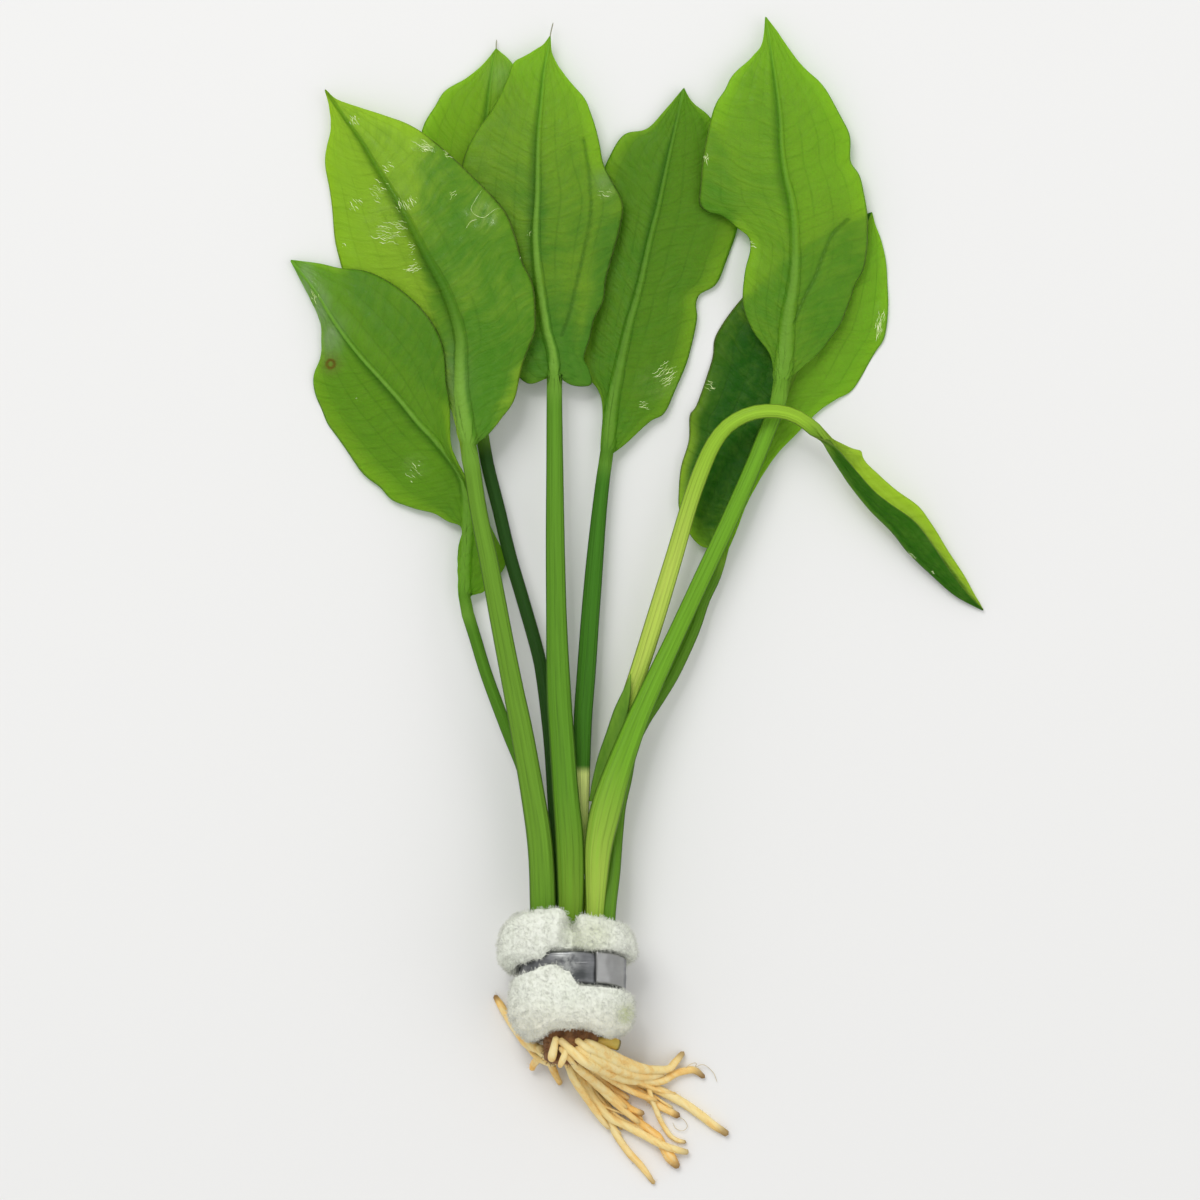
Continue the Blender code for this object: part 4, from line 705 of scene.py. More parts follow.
def noise_at(points, scale, shift=0.0):
    """Return smooth noise from -1 to 1 at points in millimetres."""
    flat = np.asarray(points, dtype=float).reshape(-1, 3) * scale + shift
    values = np.array([noise.noise(Vector(point)) for point in flat])
    return values.reshape(np.shape(points)[:-1])


def smoothstep(low, high, values):
    """Rise smoothly from 0 at low to 1 at high."""
    share = np.clip((values - low) / (high - low), 0.0, 1.0)
    return share * share * (3 - 2 * share)


def skin(name, rings, tip=None):
    """Make a closed mesh over rings in millimetres of equal length, its last ring closed by a point."""
    rings = np.asarray(rings, dtype=float)
    turns, count, _ = rings.shape
    end = rings[-1].mean(axis=0) if tip is None else np.asarray(tip, dtype=float)
    points = np.vstack([rings.reshape(-1, 3), rings[0].mean(axis=0), end]) * MM
    faces = []
    for turn in range(turns - 1):
        base = turn * count
        for i in range(count):
            following = (i + 1) % count
            faces.append((base + i, base + following, base + count + following, base + count + i))
    first, last = turns * count, turns * count + 1
    for i in range(count):
        following = (i + 1) % count
        faces.append((first, following, i))
        faces.append((last, (turns - 1) * count + i, (turns - 1) * count + following))
    mesh = bpy.data.meshes.new(name)
    mesh.from_pydata(points.tolist(), [], faces)
    turn_outwards(mesh)
    return mesh


def turn_outwards(mesh):
    """Point a closed mesh's faces outwards and shade it smooth."""
    form = bmesh.new()
    form.from_mesh(mesh)
    bmesh.ops.recalc_face_normals(form, faces=form.faces)
    form.to_mesh(mesh)
    form.free()
    mesh.shade_smooth()


def store(mesh, name, values):
    """Keep one number at each of a mesh's points for its material."""
    layer = mesh.attributes.new(name, "FLOAT", "POINT")
    layer.data.foreach_set("value", np.asarray(values, dtype=np.float32))


def placed(name, data):
    """Put an object with its data into the scene."""
    thing = bpy.data.objects.new(name, data)
    bpy.context.scene.collection.objects.link(thing)
    return thing


def add_piece(name, mesh, material, slot, *nodes):
    """Put a finished mesh into the scene, riding on the plant in place of its solids."""
    if material is not None:
        mesh.materials.clear()
        mesh.materials.append(material)
    piece = placed(name, mesh)
    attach(piece, "root")
    if nodes:
        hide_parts(*nodes)
    return piece


def run_tree(tree, mesh, values):
    """Put a mesh through a geometry tree with the named inputs and return the plain mesh it makes."""
    carrier = placed(tree.name, mesh)
    modifier = carrier.modifiers.new(tree.name, "NODES")
    modifier.node_group = tree
    places = {item.name: item.identifier for item in tree.interface.items_tree if item.in_out == "INPUT"}
    for label, value in values.items():
        modifier[places[label]] = value
    depsgraph = bpy.context.evaluated_depsgraph_get()
    made = bpy.data.meshes.new_from_object(
        carrier.evaluated_get(depsgraph), preserve_all_data_layers=True, depsgraph=depsgraph)
    bpy.data.objects.remove(carrier)
    return made


class Expression:
    """A socket's value, on which Python's arithmetic adds Math nodes."""

    def __init__(self, maker, socket):
        self.maker = maker
        self.socket = socket

    def math(self, operation, *others):
        """Add a Math node for an operation on this value and others."""
        sockets = dict(enumerate((self, *others)))
        return self.maker.node("ShaderNodeMath", {"operation": operation}, sockets)

    def other(self, name):
        """Return another output of the same node."""
        return Expression(self.maker, self.socket.node.outputs[name])

    def __add__(self, value):
        return self.math("ADD", value)

    __radd__ = __add__

    def __sub__(self, value):
        return self.math("SUBTRACT", value)

    def __rsub__(self, value):
        return (self * -1.0) + value

    def __mul__(self, value):
        return self.math("MULTIPLY", value)

    __rmul__ = __mul__

    def __truediv__(self, value):
        return self.math("DIVIDE", value)

    def __abs__(self):
        return self.math("ABSOLUTE")

    def within(self, low, high):
        """Rise smoothly from 0 at low to 1 at high, or fall where low is the larger."""
        if low > high:
            return 1.0 - self.within(high, low)
        return self.maker.node("ShaderNodeMapRange", {"interpolation_type": "SMOOTHSTEP"},
                               {"Value": self, "From Min": low, "From Max": high})

    def line(self, middle, reach):
        """Return 1 on a line where this value is middle, fading to 0 at reach from it."""
        return (1.0 - abs(self - middle) / reach).math("MAXIMUM", 0.0)


class Maker:
    """Builds a node tree; node() adds any node with its settings and its sockets' values or links."""

    def __init__(self, tree):
        self.tree = tree

    def node(self, kind, settings=None, sockets=None, output=0):
        """Add a node and return one of its outputs, if it has any."""
        made = self.tree.nodes.new(kind)
        for name, value in (settings or {}).items():
            setattr(made, name, value)
        for name, value in (sockets or {}).items():
            if isinstance(value, Expression):
                self.tree.links.new(value.socket, made.inputs[name])
            else:
                made.inputs[name].default_value = value
        return Expression(self, made.outputs[output]) if made.outputs else made

    def attribute(self, name):
        """Read a number that the mesh keeps at its points."""
        return self.node("ShaderNodeAttribute", {"attribute_name": name}, output="Fac")

    def place(self):
        """Return the place on the piece."""
        return self.node("ShaderNodeTexCoord", output="Object")

    def grain(self, scale, detail=3.0, roughness=0.55, vector=None, distortion=0.0):
        """Return noise from 0 to 1."""
        return self.node("ShaderNodeTexNoise", None, {
            "Vector": vector or self.place(), "Scale": scale, "Detail": detail,
            "Roughness": roughness, "Distortion": distortion})

    def cells(self, scale, feature="F1", vector=None):
        """Return the distance in a pattern of cells."""
        return self.node("ShaderNodeTexVoronoi", {"feature": feature}, {
            "Vector": vector or self.place(), "Scale": scale})

    def stretched(self, scale):
        """Return the place on the piece, drawn out by a different amount on each axis."""
        return self.node("ShaderNodeMapping", None, {"Vector": self.place(), "Scale": scale})

    def axes(self, vector):
        """Take a vector apart into its three numbers."""
        first = self.node("ShaderNodeSeparateXYZ", None, {"Vector": vector})
        return first, first.other("Y"), first.other("Z")

    def vector(self, x, y, z=0.0):
        """Put three numbers together."""
        return self.node("ShaderNodeCombineXYZ", None, {"X": x, "Y": y, "Z": z})

    def apart(self, x, y):
        """Return how far the place on the piece lies from a point seen from above, in millimetres."""
        from_left, from_foot, _ = self.axes(self.place())
        across = from_left / MM - x
        along = from_foot / MM - y
        return (across * across + along * along).math("SQRT")

    def blend(self, share, first, second):
        """Mix two colours."""
        colours = [value if isinstance(value, Expression) else (*value, 1.0) for value in (first, second)]
        return self.node("ShaderNodeMix", {"data_type": "RGBA"},
                         {0: share, 6: colours[0], 7: colours[1]}, output=2)

    def coats(self, colour, *coats):
        """Lay coats over a colour, each given as the share that it covers and its own colour."""
        for share, coat in coats:
            colour = self.blend(share, colour, coat)
        return colour

    def bump(self, height):
        """Turn a height in millimetres into a normal."""
        return self.node("ShaderNodeBump", None, {"Height": height, "Distance": MM})

    def finish(self, colour, roughness, normal=None, through=None, through_share=0.0, **fixed):
        """End a material in a Principled shader, with light let through where a colour for it is given."""
        sockets = {"Base Color": colour, "Roughness": roughness}
        if normal is not None:
            sockets["Normal"] = normal
        sockets.update({name.replace("_", " "): value for name, value in fixed.items()})
        surface = self.node("ShaderNodeBsdfPrincipled", None, sockets)
        if through is not None:
            light = self.node("ShaderNodeBsdfTranslucent", None, {"Color": (*through, 1.0)})
            surface = self.node("ShaderNodeMixShader", None, {0: through_share, 1: surface, 2: light})
        self.node("ShaderNodeOutputMaterial", None, {"Surface": surface})


def new_material(name):
    """Make an empty material and the maker of its nodes."""
    material = bpy.data.materials.new(name)
    material.use_nodes = True
    material.node_tree.nodes.clear()
    return material, Maker(material.node_tree)


def new_tree(name, inputs):
    """Make a geometry tree with named inputs; return it, its maker and its inputs' values."""
    tree = bpy.data.node_groups.new(name, "GeometryNodeTree")
    tree.interface.new_socket("Geometry", in_out="INPUT", socket_type="NodeSocketGeometry")
    for label, kind in inputs.items():
        tree.interface.new_socket(label, in_out="INPUT", socket_type=kind)
    tree.interface.new_socket("Geometry", in_out="OUTPUT", socket_type="NodeSocketGeometry")
    maker = Maker(tree)
    given = maker.node("NodeGroupInput")
    return tree, maker, {label: given.other(label) for label in ("Geometry", *inputs)}


def end_tree(maker, geometry, material):
    """End a geometry tree with real geometry in its material."""
    real = maker.node("GeometryNodeRealizeInstances", None, {"Geometry": geometry})
    dressed = maker.node("GeometryNodeSetMaterial", None, {"Geometry": real, "Material": material})
    maker.node("NodeGroupOutput", None, {0: dressed})


# Leaves

def ring_layout(count):
    """Return each ring point's place across, from -1 to 1, and its side: 1 above, -1 below."""
    line = np.linspace(-1.0, 1.0, count)
    across = np.concatenate([line, line[-2:0:-1]])
    side = np.concatenate([[0.0], np.ones(count - 2), [0.0], -np.ones(count - 2)])
    return across, side


def crowded(across):
    """Draw places across a blade together towards its rib."""
    return np.sign(across) * np.abs(across) ** CROWDING


def stalk_rings(leaf, across, side):
    """Return rings along a stalk, flattened and lightly ribbed."""
    rows = at_shares(smooth(leaf["stalk"]), np.linspace(0.0, 1.0, STALK_RINGS, endpoint=False))
    directions = unit(np.gradient(rows[:, :3], axis=0))
    sideways = unit(np.column_stack([directions[:, 1], -directions[:, 0], np.zeros(STALK_RINGS)]))
    upward = np.cross(sideways, directions)
    angle = (1 - across) * math.pi / 2
    ribbing = 1 + STALK_RIB_HEIGHT * np.cos(angle * STALK_RIBS) * np.abs(side)
    out = np.cos(angle) * ribbing
    rise = np.sin(angle) * side * ribbing * STALK_FLATNESS
    half = rows[:, 3] / 2
    return (rows[:, None, :3] + sideways[:, None, :] * (half[:, None] * out)[:, :, None]
            + upward[:, None, :] * (half[:, None] * rise)[:, :, None])


def blade_sheet(name, leaf, line, shares, settings, shift):
    """Return a blade's middle sheet, its normals, its half thickness, and what its material reads."""
    midrib = at_shares(smooth(leaf["midrib"]), shares)
    edges = [at_shares(smooth([*leaf[side], leaf["midrib"][-1]]), shares) for side in ("left", "right")]
    spread = crowded(line)
    reach = np.abs(spread)[None, :, None]
    margin = np.where(spread[None, :, None] < 0, edges[0][:, None, :], edges[1][:, None, :])
    bow = np.where(spread < 0, leaf["bow"][0], leaf["bow"][1])
    half_width = np.linalg.norm(margin - midrib[:, None, :], axis=2)
    share_of_width = half_width / half_width.max(axis=0)
    sheet = midrib[:, None, :] + (margin - midrib[:, None, :]) * reach
    sheet[:, :, 2] += bow * share_of_width * 4 * reach[:, :, 0] * (1 - reach[:, :, 0])

    along = lengths_along(midrib)[:, None] * np.ones_like(half_width)
    wobble = noise_at(sheet, 0.11, shift)
    drift = reach[:, :, 0] + 0.045 * noise_at(sheet, 0.05, shift + 2.0)
    phase = along / CROSS_VEIN_SPACING - CROSS_VEIN_RISE * reach[:, :, 0] + 0.75 * wobble
    veins = (0.0, *LATERAL_VEINS, 1.0)
    bulge = np.zeros_like(half_width)
    for low, high in zip(veins, veins[1:]):
        inside = np.clip((reach[:, :, 0] - low) / (high - low), 0.0, 1.0)
        bulge += np.sin(math.pi * inside) ** 2
    uneven = np.clip(0.6 + 1.2 * noise_at(sheet, 0.07, shift), 0.0, 1.0)
    bulge *= 0.55 + 0.45 * np.sin(math.tau * phase) * uneven
    relief = bulge * settings.quilting / MM * smoothstep(0.0, 5.0, half_width)
    ruffle = noise_at(sheet, 0.085, shift + 9.0) + 0.5 * noise_at(sheet, 0.22, shift + 4.0)
    relief += ruffle * settings.ruffle / MM * reach[:, :, 0] ** 1.6 * smoothstep(2.0, 9.0, half_width)
    crease = np.zeros_like(half_width)
    if name in CREASES:
        path = at_shares(smooth([(x, y, 0.0) for x, y in CREASES[name]]), np.linspace(0.0, 1.0, 60))
        gaps = np.linalg.norm(sheet[:, :, None, :2] - path[None, None, :, :2], axis=3).min(axis=2)
        crease = np.exp(-(gaps / CREASE_REACH) ** 2)
        relief -= CREASE_DEPTH * crease

    def normals_of(points):
        normals = np.cross(np.gradient(points, axis=1), np.gradient(points, axis=0))
        return normals / np.maximum(np.linalg.norm(normals, axis=2, keepdims=True), 1e-9)

    sheet = sheet + normals_of(sheet) * relief[:, :, None]
    foot_width = leaf["stalk"][-1][3]
    rib_reach = foot_width / 2 * (1 - shares) ** 1.9 + RIB_REACH_AT_TIP
    rib_height = RIB_AT_TIP + (leaf["rib_at_foot"] - RIB_AT_TIP) * (1 - shares)
    from_rib = np.linalg.norm(sheet - sheet[:, len(line) // 2, None, :], axis=2) / rib_reach[:, None]
    rib = np.clip(1 - from_rib ** 2, 0.0, 1.0) ** 0.6
    thickness = settings.blade_thickness / MM
    half_thickness = (thickness + (rib_height[:, None] - thickness) * rib) / 2
    reads = {"across": spread[None, :] * np.ones_like(along), "along": along, "phase": phase,
             "rib": rib, "crease": crease, "drift": drift,
             "wet": patches(sheet, WET_PATCHES.get(name, ())),
             "limp_and_sheen": patches(sheet, SHEEN_AND_LIMP_PATCHES.get(name, ())),
             "under": layers_under(name, sheet), "blade": np.ones_like(along)}
    return sheet, normals_of(sheet), half_thickness, reads


def patches(sheet, places):
    """Return 1 in the middle of patches on a blade, fading outwards."""
    amount = np.zeros(sheet.shape[:2])
    for x, y, reach_x, reach_y in places:
        gap = ((sheet[:, :, 0] - x) / reach_x) ** 2 + ((sheet[:, :, 1] - y) / reach_y) ** 2
        amount = np.maximum(amount, np.exp(-gap))
    return amount


def layers_under(name, sheet):
    """Count the sheets and stalks that lie under each point of a blade, with soft borders."""
    points, faces = [], []
    for other in LEAVES:
        if other != name:
            mesh = frame["nodes"][other].data
            faces += [[len(points) + i for i in face.vertices] for face in mesh.polygons]
            points += [vertex.co.copy() for vertex in mesh.vertices]
    tree = BVHTree.FromPolygons(points, faces)
    counts = np.zeros(sheet.shape[:2])
    for index in np.ndindex(counts.shape):
        start = Vector(sheet[index]) * MM
        start.z -= LAYER_GAP
        while start is not None and counts[index] < MOST_LAYERS:
            hit = tree.ray_cast(start, Vector((0.0, 0.0, -1.0)), LAYER_REACH)[0]
            start = hit - Vector((0.0, 0.0, 1e-5)) if hit is not None else None
            counts[index] += 0.5 if hit is not None else 0.0
    for _ in range(LAYER_AVERAGING):
        wider = np.pad(counts, 1, mode="edge")
        counts = (wider[:-2, 1:-1] + wider[2:, 1:-1] + wider[1:-1, :-2] + wider[1:-1, 2:]) / 4
    return counts


def make_leaf(name, leaf, settings, shift):
    """Make a leaf's mesh, from its stalk in the foam to the tip of its blade."""
    across, side = ring_layout(settings.points_across)
    line = across[:settings.points_across]
    back = np.arange(settings.points_across - 2, 0, -1)
    stalk = stalk_rings(leaf, across, side)
    shares = np.linspace(0.0, BLADE_END, settings.rings_along)
    sheet, normals, half, reads = blade_sheet(name, leaf, line, shares, settings, shift)
    half[:, 0] = 0.0
    half[:, -1] = 0.0
    upper = sheet + normals * half[:, :, None]
    lower = sheet - normals * half[:, :, None]
    blade = np.concatenate([upper, lower[:, back]], axis=1)
    rings = np.concatenate([stalk, blade])
    rings[:, :, 2] = np.maximum(rings[:, :, 2], LEAF_CLEARANCE)
    mesh = skin(name, rings, leaf["midrib"][-1])
    stalk_run = lengths_along(stalk.mean(axis=1))
    stalk_reads = {"across": crowded(across)[None, :], "along": (stalk_run - stalk_run[-1])[:, None],
                   "rib": np.ones((1, 1))}
    for label, values in reads.items():
        on_stalk = np.broadcast_to(stalk_reads.get(label, np.zeros((1, 1))), (STALK_RINGS, len(across)))
        on_blade = np.concatenate([values, values[:, back]], axis=1)
        both = np.concatenate([on_stalk, on_blade]).reshape(-1)
        store(mesh, label, np.concatenate([both, [both[0], on_blade[-1].mean()]]))
    return mesh


def leaf_material(name, looks, settings):
    """Make leaf tissue: veins, quilting, blotches, pale rib, thin yellow margins and wet patches, with
    painted light and shade: lighter where nothing lies beneath, darker on doubled and overlapped halves,
    in creases and beside the rib, with painted sheen where wet or limp.
    """
    material, maker = new_material(name)
    across, along, blade, rib, wet, phase, under, crease, limp_and_sheen, drift = (
        maker.attribute(label) for label in (
            "across", "along", "blade", "rib", "wet", "phase", "under", "crease", "limp_and_sheen", "drift"))
    out = abs(across)
    # Painted light let through from the floor: 1 where no other blade or stalk lies beneath, fading where
    # they do
    painted_backlight = (under * 0.9).within(1.0, 0.0)
    blotches = maker.grain(55.0, 4.0, 0.6)
    mottle = maker.grain(420.0, 4.0, 0.6)
    patchy = maker.grain(75.0, 2.0, 0.5).within(0.35, 0.65)
    streaks = maker.grain(1.0, 4.0, 0.62, maker.vector(across * 2.6, phase * 1.5))

    laterals = drift.line(LATERAL_VEINS[0], 0.026)
    for middle in LATERAL_VEINS[1:]:
        laterals = laterals.math("MAXIMUM", drift.line(middle, 0.02))
    laterals = laterals * (0.15 + 0.45 * patchy)
    fine_wobble = maker.grain(260.0, 2.0) * 0.3
    crossing = (phase + fine_wobble).math("FRACT").line(0.5, 0.15)
    crossing = crossing * (0.25 + 0.75 * streaks.within(0.35, 0.65))
    net = maker.cells(560.0, "DISTANCE_TO_EDGE").within(0.12, 0.0)
    veins = laterals.math("MAXIMUM", crossing * 0.5).math("MAXIMUM", net * 0.12)
    veins = veins * rib.within(0.6, 0.0)

    # halves paints light and shade on each half: lighter alone over the floor, darker over other leaves or
    # doubled in a fold
    left_half, right_half = looks["halves"]
    halves = across.within(*looks.get("turn", (-0.12, 0.12))) * (right_half - left_half) + left_half
    # Lighter where nothing lies beneath, as painted light let through from the floor
    lightness = painted_backlight * 0.4 + (blotches - 0.5) * 1.2 + (streaks - 0.5) * 0.9 + halves + 0.1
    lightness = lightness + along.within(12.0, 80.0) * 0.26
    lightness = lightness - along.within(26.0, 2.0) * looks.get("foot_dark", 0.0)
    # Margins lighter still where nothing lies beneath, also painted light let through
    lightness = lightness + out.within(0.5, 1.0) * painted_backlight * 0.26
    if name == "leaf_bent":
        # Painted shade on the folded young leaf: darker at the blade's foot and over the doubled fold,
        # leaving a lit band along its far margin
        lightness = lightness - along.within(14.0, 3.0) * 0.7
        lightness = lightness - across.within(-0.82, -0.62) * along.within(16.0, 34.0) * 1.1
    # glow is the thin margins' own yellow, strengthened as painted light let through where nothing lies
    # beneath
    glow = out.within(0.66, 1.0) * painted_backlight * (lightness.within(0.1, 0.9) * 0.6 + 0.08)
    glow = glow * (along.within(-4.0, 34.0) * 0.8 + 0.2)
    if name == "leaf_bent":
        glow = glow * across.within(0.0, -0.2)
    if "margins" in looks:
        left_margin, right_margin = looks["margins"]
        glow = glow.math("MAXIMUM", across.within(-0.8, -0.98) * along.within(45.0, 15.0) * left_margin)
        glow = glow.math("MAXIMUM", across.within(0.74, 0.98) * painted_backlight * right_margin)

    dark = shaded(looks["deep"], 0.5)
    at_foot, at_tip = looks["rib"]
    pale = along.within(10.0, 45.0) * (at_tip - at_foot) + at_foot
    tissue = maker.coats(
        looks["deep"],
        (lightness.within(-0.05, 1.05), looks["light"]),
        (glow, settings.margin_colour),
        (mottle.within(0.35, 0.75) * 0.12, (0.26, 0.44, 0.06)),
        (veins * 0.46, dark),
        # Painted shade in the creases, with a painted highlight along each fold's ridge
        (crease.within(0.1, 0.8) * 0.5, dark),
        (crease.within(0.82, 0.98) * 0.6, (0.2, 0.4, 0.07)),
        # Limp patches in pale grey-green, partly a painted sheen
        (limp_and_sheen * (0.2 + 0.9 * mottle), looks.get("limp_and_sheen", (0.2, 0.33, 0.11))),
        # Painted sheen streaked over the wet patches
        (wet.within(0.2, 0.9) * streaks.within(0.4, 0.65) * 0.2, (0.48, 0.64, 0.2)),
        # Painted shade in a band beside the rib, stronger on its left side
        (out.within(0.17, 0.02) * (across.within(0.01, -0.01) * 0.6 + 0.15), dark),
        (rib.within(0.6, 1.0) * pale, settings.rib_colour),
        (rib.within(0.15, 0.7) * along.within(12.0, 40.0) * looks.get("dark_rib", 0.0),
         shaded(looks["deep"], 0.8)),
        # Painted shadow line along the rib's border
        (rib.line(0.2, 0.2) * 0.55, dark))
    if name == "leaf_front_left":
        gap = maker.apart(*SPOT_ON_FRONT_LEAF)
        tissue = maker.coats(tissue, (gap.within(4.0, 1.0) * 0.35, (0.24, 0.19, 0.06)),
                             (gap.line(0.9, 0.6), (0.2, 0.05, 0.014)))
    tissue = maker.blend(out.within(0.972, 0.994) * 0.6, tissue, settings.edge_colour)

    stripes = maker.grain(1.0, 3.0, 0.6, maker.vector(across * 8.0, along * 0.03))
    shade = shaded(looks["stalk"], 0.34)
    stalk = maker.coats(
        looks["foot"],
        (along.within(*looks.get("foot_at", (-150.0, -70.0))), looks["stalk"]),
        (stripes.within(0.42, 0.7) * 0.3, shaded(looks["stalk"], 1.6)),
        (stripes.within(0.47, 0.3) * 0.45, shade),
        (across.line(-0.3, 0.06) * 0.3 + across.line(0.36, 0.04) * 0.3, shade),
        (out.within(0.46, 0.82) * 0.72, shaded(shade, 0.7)))
    colour = maker.blend(along.within(-5.0, 5.0), stalk, tissue)

    ripples = maker.grain(420.0, 2.0, 0.5, distortion=1.6)
    film = wet.within(0.15, 0.9)
    roughness = 0.46 + (mottle - 0.5) * 0.2 - film * 0.2
    height = crossing * -0.08 - laterals * 0.07 - net * 0.02 + mottle * 0.06 + streaks * 0.45
    height = height * blade + stripes * (1.0 - blade) * 0.2 + ripples * film * 0.4
    thin = lightness.within(-0.3, 1.2) * 0.75 + 0.25
    share = blade * thin * settings.translucency + (1.0 - blade) * 0.12
    maker.finish(colour, roughness, maker.bump(height), through_colour(looks), share,
                 Specular_IOR_Level=0.1, Coat_Weight=0.02 + film * 0.16, Coat_Roughness=0.1)
    return material


def through_colour(looks):
    """Return the colour of the light that passes through a leaf's tissue."""
    red, green, blue = looks["light"]
    return (min(1.0, red * 1.9 + 0.07), min(1.0, green * 1.7 + 0.2), min(1.0, blue * 1.4))


# Roots, crown, stub and sheath

def tube_tree():
    """Make the tree that skins a tube over a run of points, with lumps on its skin."""
    tree, maker, given = new_tree("root tube", {
        "Ring spacing": "NodeSocketFloat", "Sides": "NodeSocketInt", "Lumps": "NodeSocketFloat",
        "Lump scale": "NodeSocketFloat", "Material": "NodeSocketMaterial"})
    run = maker.node("GeometryNodeMeshToCurve", None, {"Mesh": given["Geometry"]})
    run = maker.node("GeometryNodeResampleCurve", {"mode": "LENGTH"}, {
        "Curve": run, "Length": given["Ring spacing"]})
    share = maker.node("GeometryNodeSplineParameter")
    run = maker.node("GeometryNodeStoreNamedAttribute", {"domain": "POINT"}, {
        "Geometry": run, "Name": "along", "Value": share})
    radius = maker.node("GeometryNodeInputNamedAttribute", None, {"Name": "radius_here"})
    outline = maker.node("GeometryNodeCurvePrimitiveCircle", None, {
        "Resolution": given["Sides"], "Radius": 1.0})
    tube = maker.node("GeometryNodeCurveToMesh", None, {
        "Curve": run, "Profile Curve": outline, "Scale": radius, "Fill Caps": True})
    place = maker.node("GeometryNodeInputPosition")
    coarse = maker.node("ShaderNodeTexNoise", None, {
        "Vector": place, "Scale": given["Lump scale"], "Detail": 2.0})
    fine = maker.node("ShaderNodeTexNoise", None, {
        "Vector": place, "Scale": given["Lump scale"] * 4.0, "Detail": 1.0})
    push = ((coarse - 0.5) * 1.6 + (fine - 0.5) * 0.5) * given["Lumps"]
    normal = maker.node("GeometryNodeInputNormal")
    offset = maker.node("ShaderNodeVectorMath", {"operation": "SCALE"}, {0: normal, "Scale": push})
    tube = maker.node("GeometryNodeSetPosition", None, {"Geometry": tube, "Offset": offset})
    end_tree(maker, tube, given["Material"])
    return tree


def add_tube(tree, name, run, material, slot, nodes=(), *, spacing, sides, lumps, lump_scale):
    """Skin a tube over a run of points and put it into the scene in place of the given nodes."""
    made = run_tree(tree, run, {"Ring spacing": spacing, "Sides": sides, "Lumps": lumps,
                                "Lump scale": lump_scale, "Material": material})
    turn_outwards(made)
    add_piece(name, made, None, slot, *nodes)


def rooted(rows):
    """Thicken a root towards its foot and let it start inside the crown."""
    run = np.array(rows, dtype=float)
    back = run[0, :3] - run[1, :3]
    foot = np.append(run[0, :3] + back / np.linalg.norm(back) * 1.4, run[0, 3])
    run = np.vstack([foot, run])
    run[:, 3] *= np.interp(np.linspace(0.0, 1.0, len(run)), (0.0, 0.35, 1.0), (1.3, 1.24, 1.05))
    return run


def strand_rows(first, second, share, radius, number):
    """Return the rows of a thin strand that wanders between two roots."""
    shares = np.linspace(0.0, 0.62 + 0.05 * (number % 5), 12)
    one, other = (at_shares(smooth(ROOTS[name]), shares) for name in (first, second))
    rows = (1 - share) * one + share * other
    rows[:, 0] += 0.6 * np.sin(shares * 9.0 + number)
    rows[:, 1] += 0.5 * np.sin(shares * 7.0 + 2.0 * number)
    rows[:, 3] = radius * np.linspace(1.3, 0.75, 12)
    return rows


def run_mesh(name, rows, rounding=1.0):
    """Make a mesh of points and edges along (x, y, z, radius) rows, its radius closing at both ends."""
    run = smooth(rows)
    length = lengths_along(run)[-1]
    points = at_shares(run, np.linspace(0.0, 1.0, max(12, round(length * 3))))
    radius = points[:, 3]
    travelled = lengths_along(points)
    to_end = np.minimum(travelled, length - travelled)
    share = np.clip(to_end / np.maximum(radius * rounding, 0.05), 0.0, 1.0)
    radius = radius * np.sqrt(np.maximum(1 - (1 - share) ** 2, 0.004))
    points[:, 2] = np.maximum(points[:, 2], points[:, 3] + 0.12)
    mesh = bpy.data.meshes.new(name)
    mesh.from_pydata((points[:, :3] * MM).tolist(), [(i, i + 1) for i in range(len(points) - 1)], [])
    store(mesh, "radius_here", radius * MM)
    return mesh


def root_material(name, warmth, tip_darkness, settings):
    """Make root tissue: pale to amber, drawn-out streaks, scars and a brown broken tip."""
    material, maker = new_material(name)
    along = maker.attribute("along")
    patches = maker.grain(160.0, 3.0, 0.6)
    drawn_out = maker.node("ShaderNodeMapping", {"vector_type": "TEXTURE"}, {
        "Vector": maker.place(), "Rotation": (0.0, 0.0, math.radians(-48.0)), "Scale": (5.0, 1.0, 1.0)})
    streaks = maker.grain(640.0, 4.0, 0.65, drawn_out)
    scars = maker.grain(900.0, 2.0, 0.5).within(0.62, 0.74)
    amount = (patches - 0.5) * 1.5 + along * (0.3 + 0.4 * warmth) + (warmth - 0.3)
    tip = (along + (patches - 0.5) * 0.05).within(0.9, 0.995) * tip_darkness
    foot = (along + (patches - 0.5) * 0.06).within(0.08, 0.0)
    tissue = maker.coats(
        settings.pale,
        (amount.within(0.0, 1.0), settings.amber),
        (streaks.within(0.45, 0.65) * 0.5, (1.0, 0.9, 0.54)),
        (streaks.within(0.5, 0.32) * 0.55, (0.9, 0.52, 0.14)),
        (scars * 0.12, (0.62, 0.36, 0.12)),
        (tip, settings.tip),
        (foot * 0.4, (0.52, 0.28, 0.08)))
    height = streaks * 0.22 + patches * 0.08 - scars * 0.05
    maker.finish(tissue, 0.46 + (streaks - 0.5) * 0.3, maker.bump(height), (1.0, 0.86, 0.4), 0.12,
                 Specular_IOR_Level=0.2)
    return material


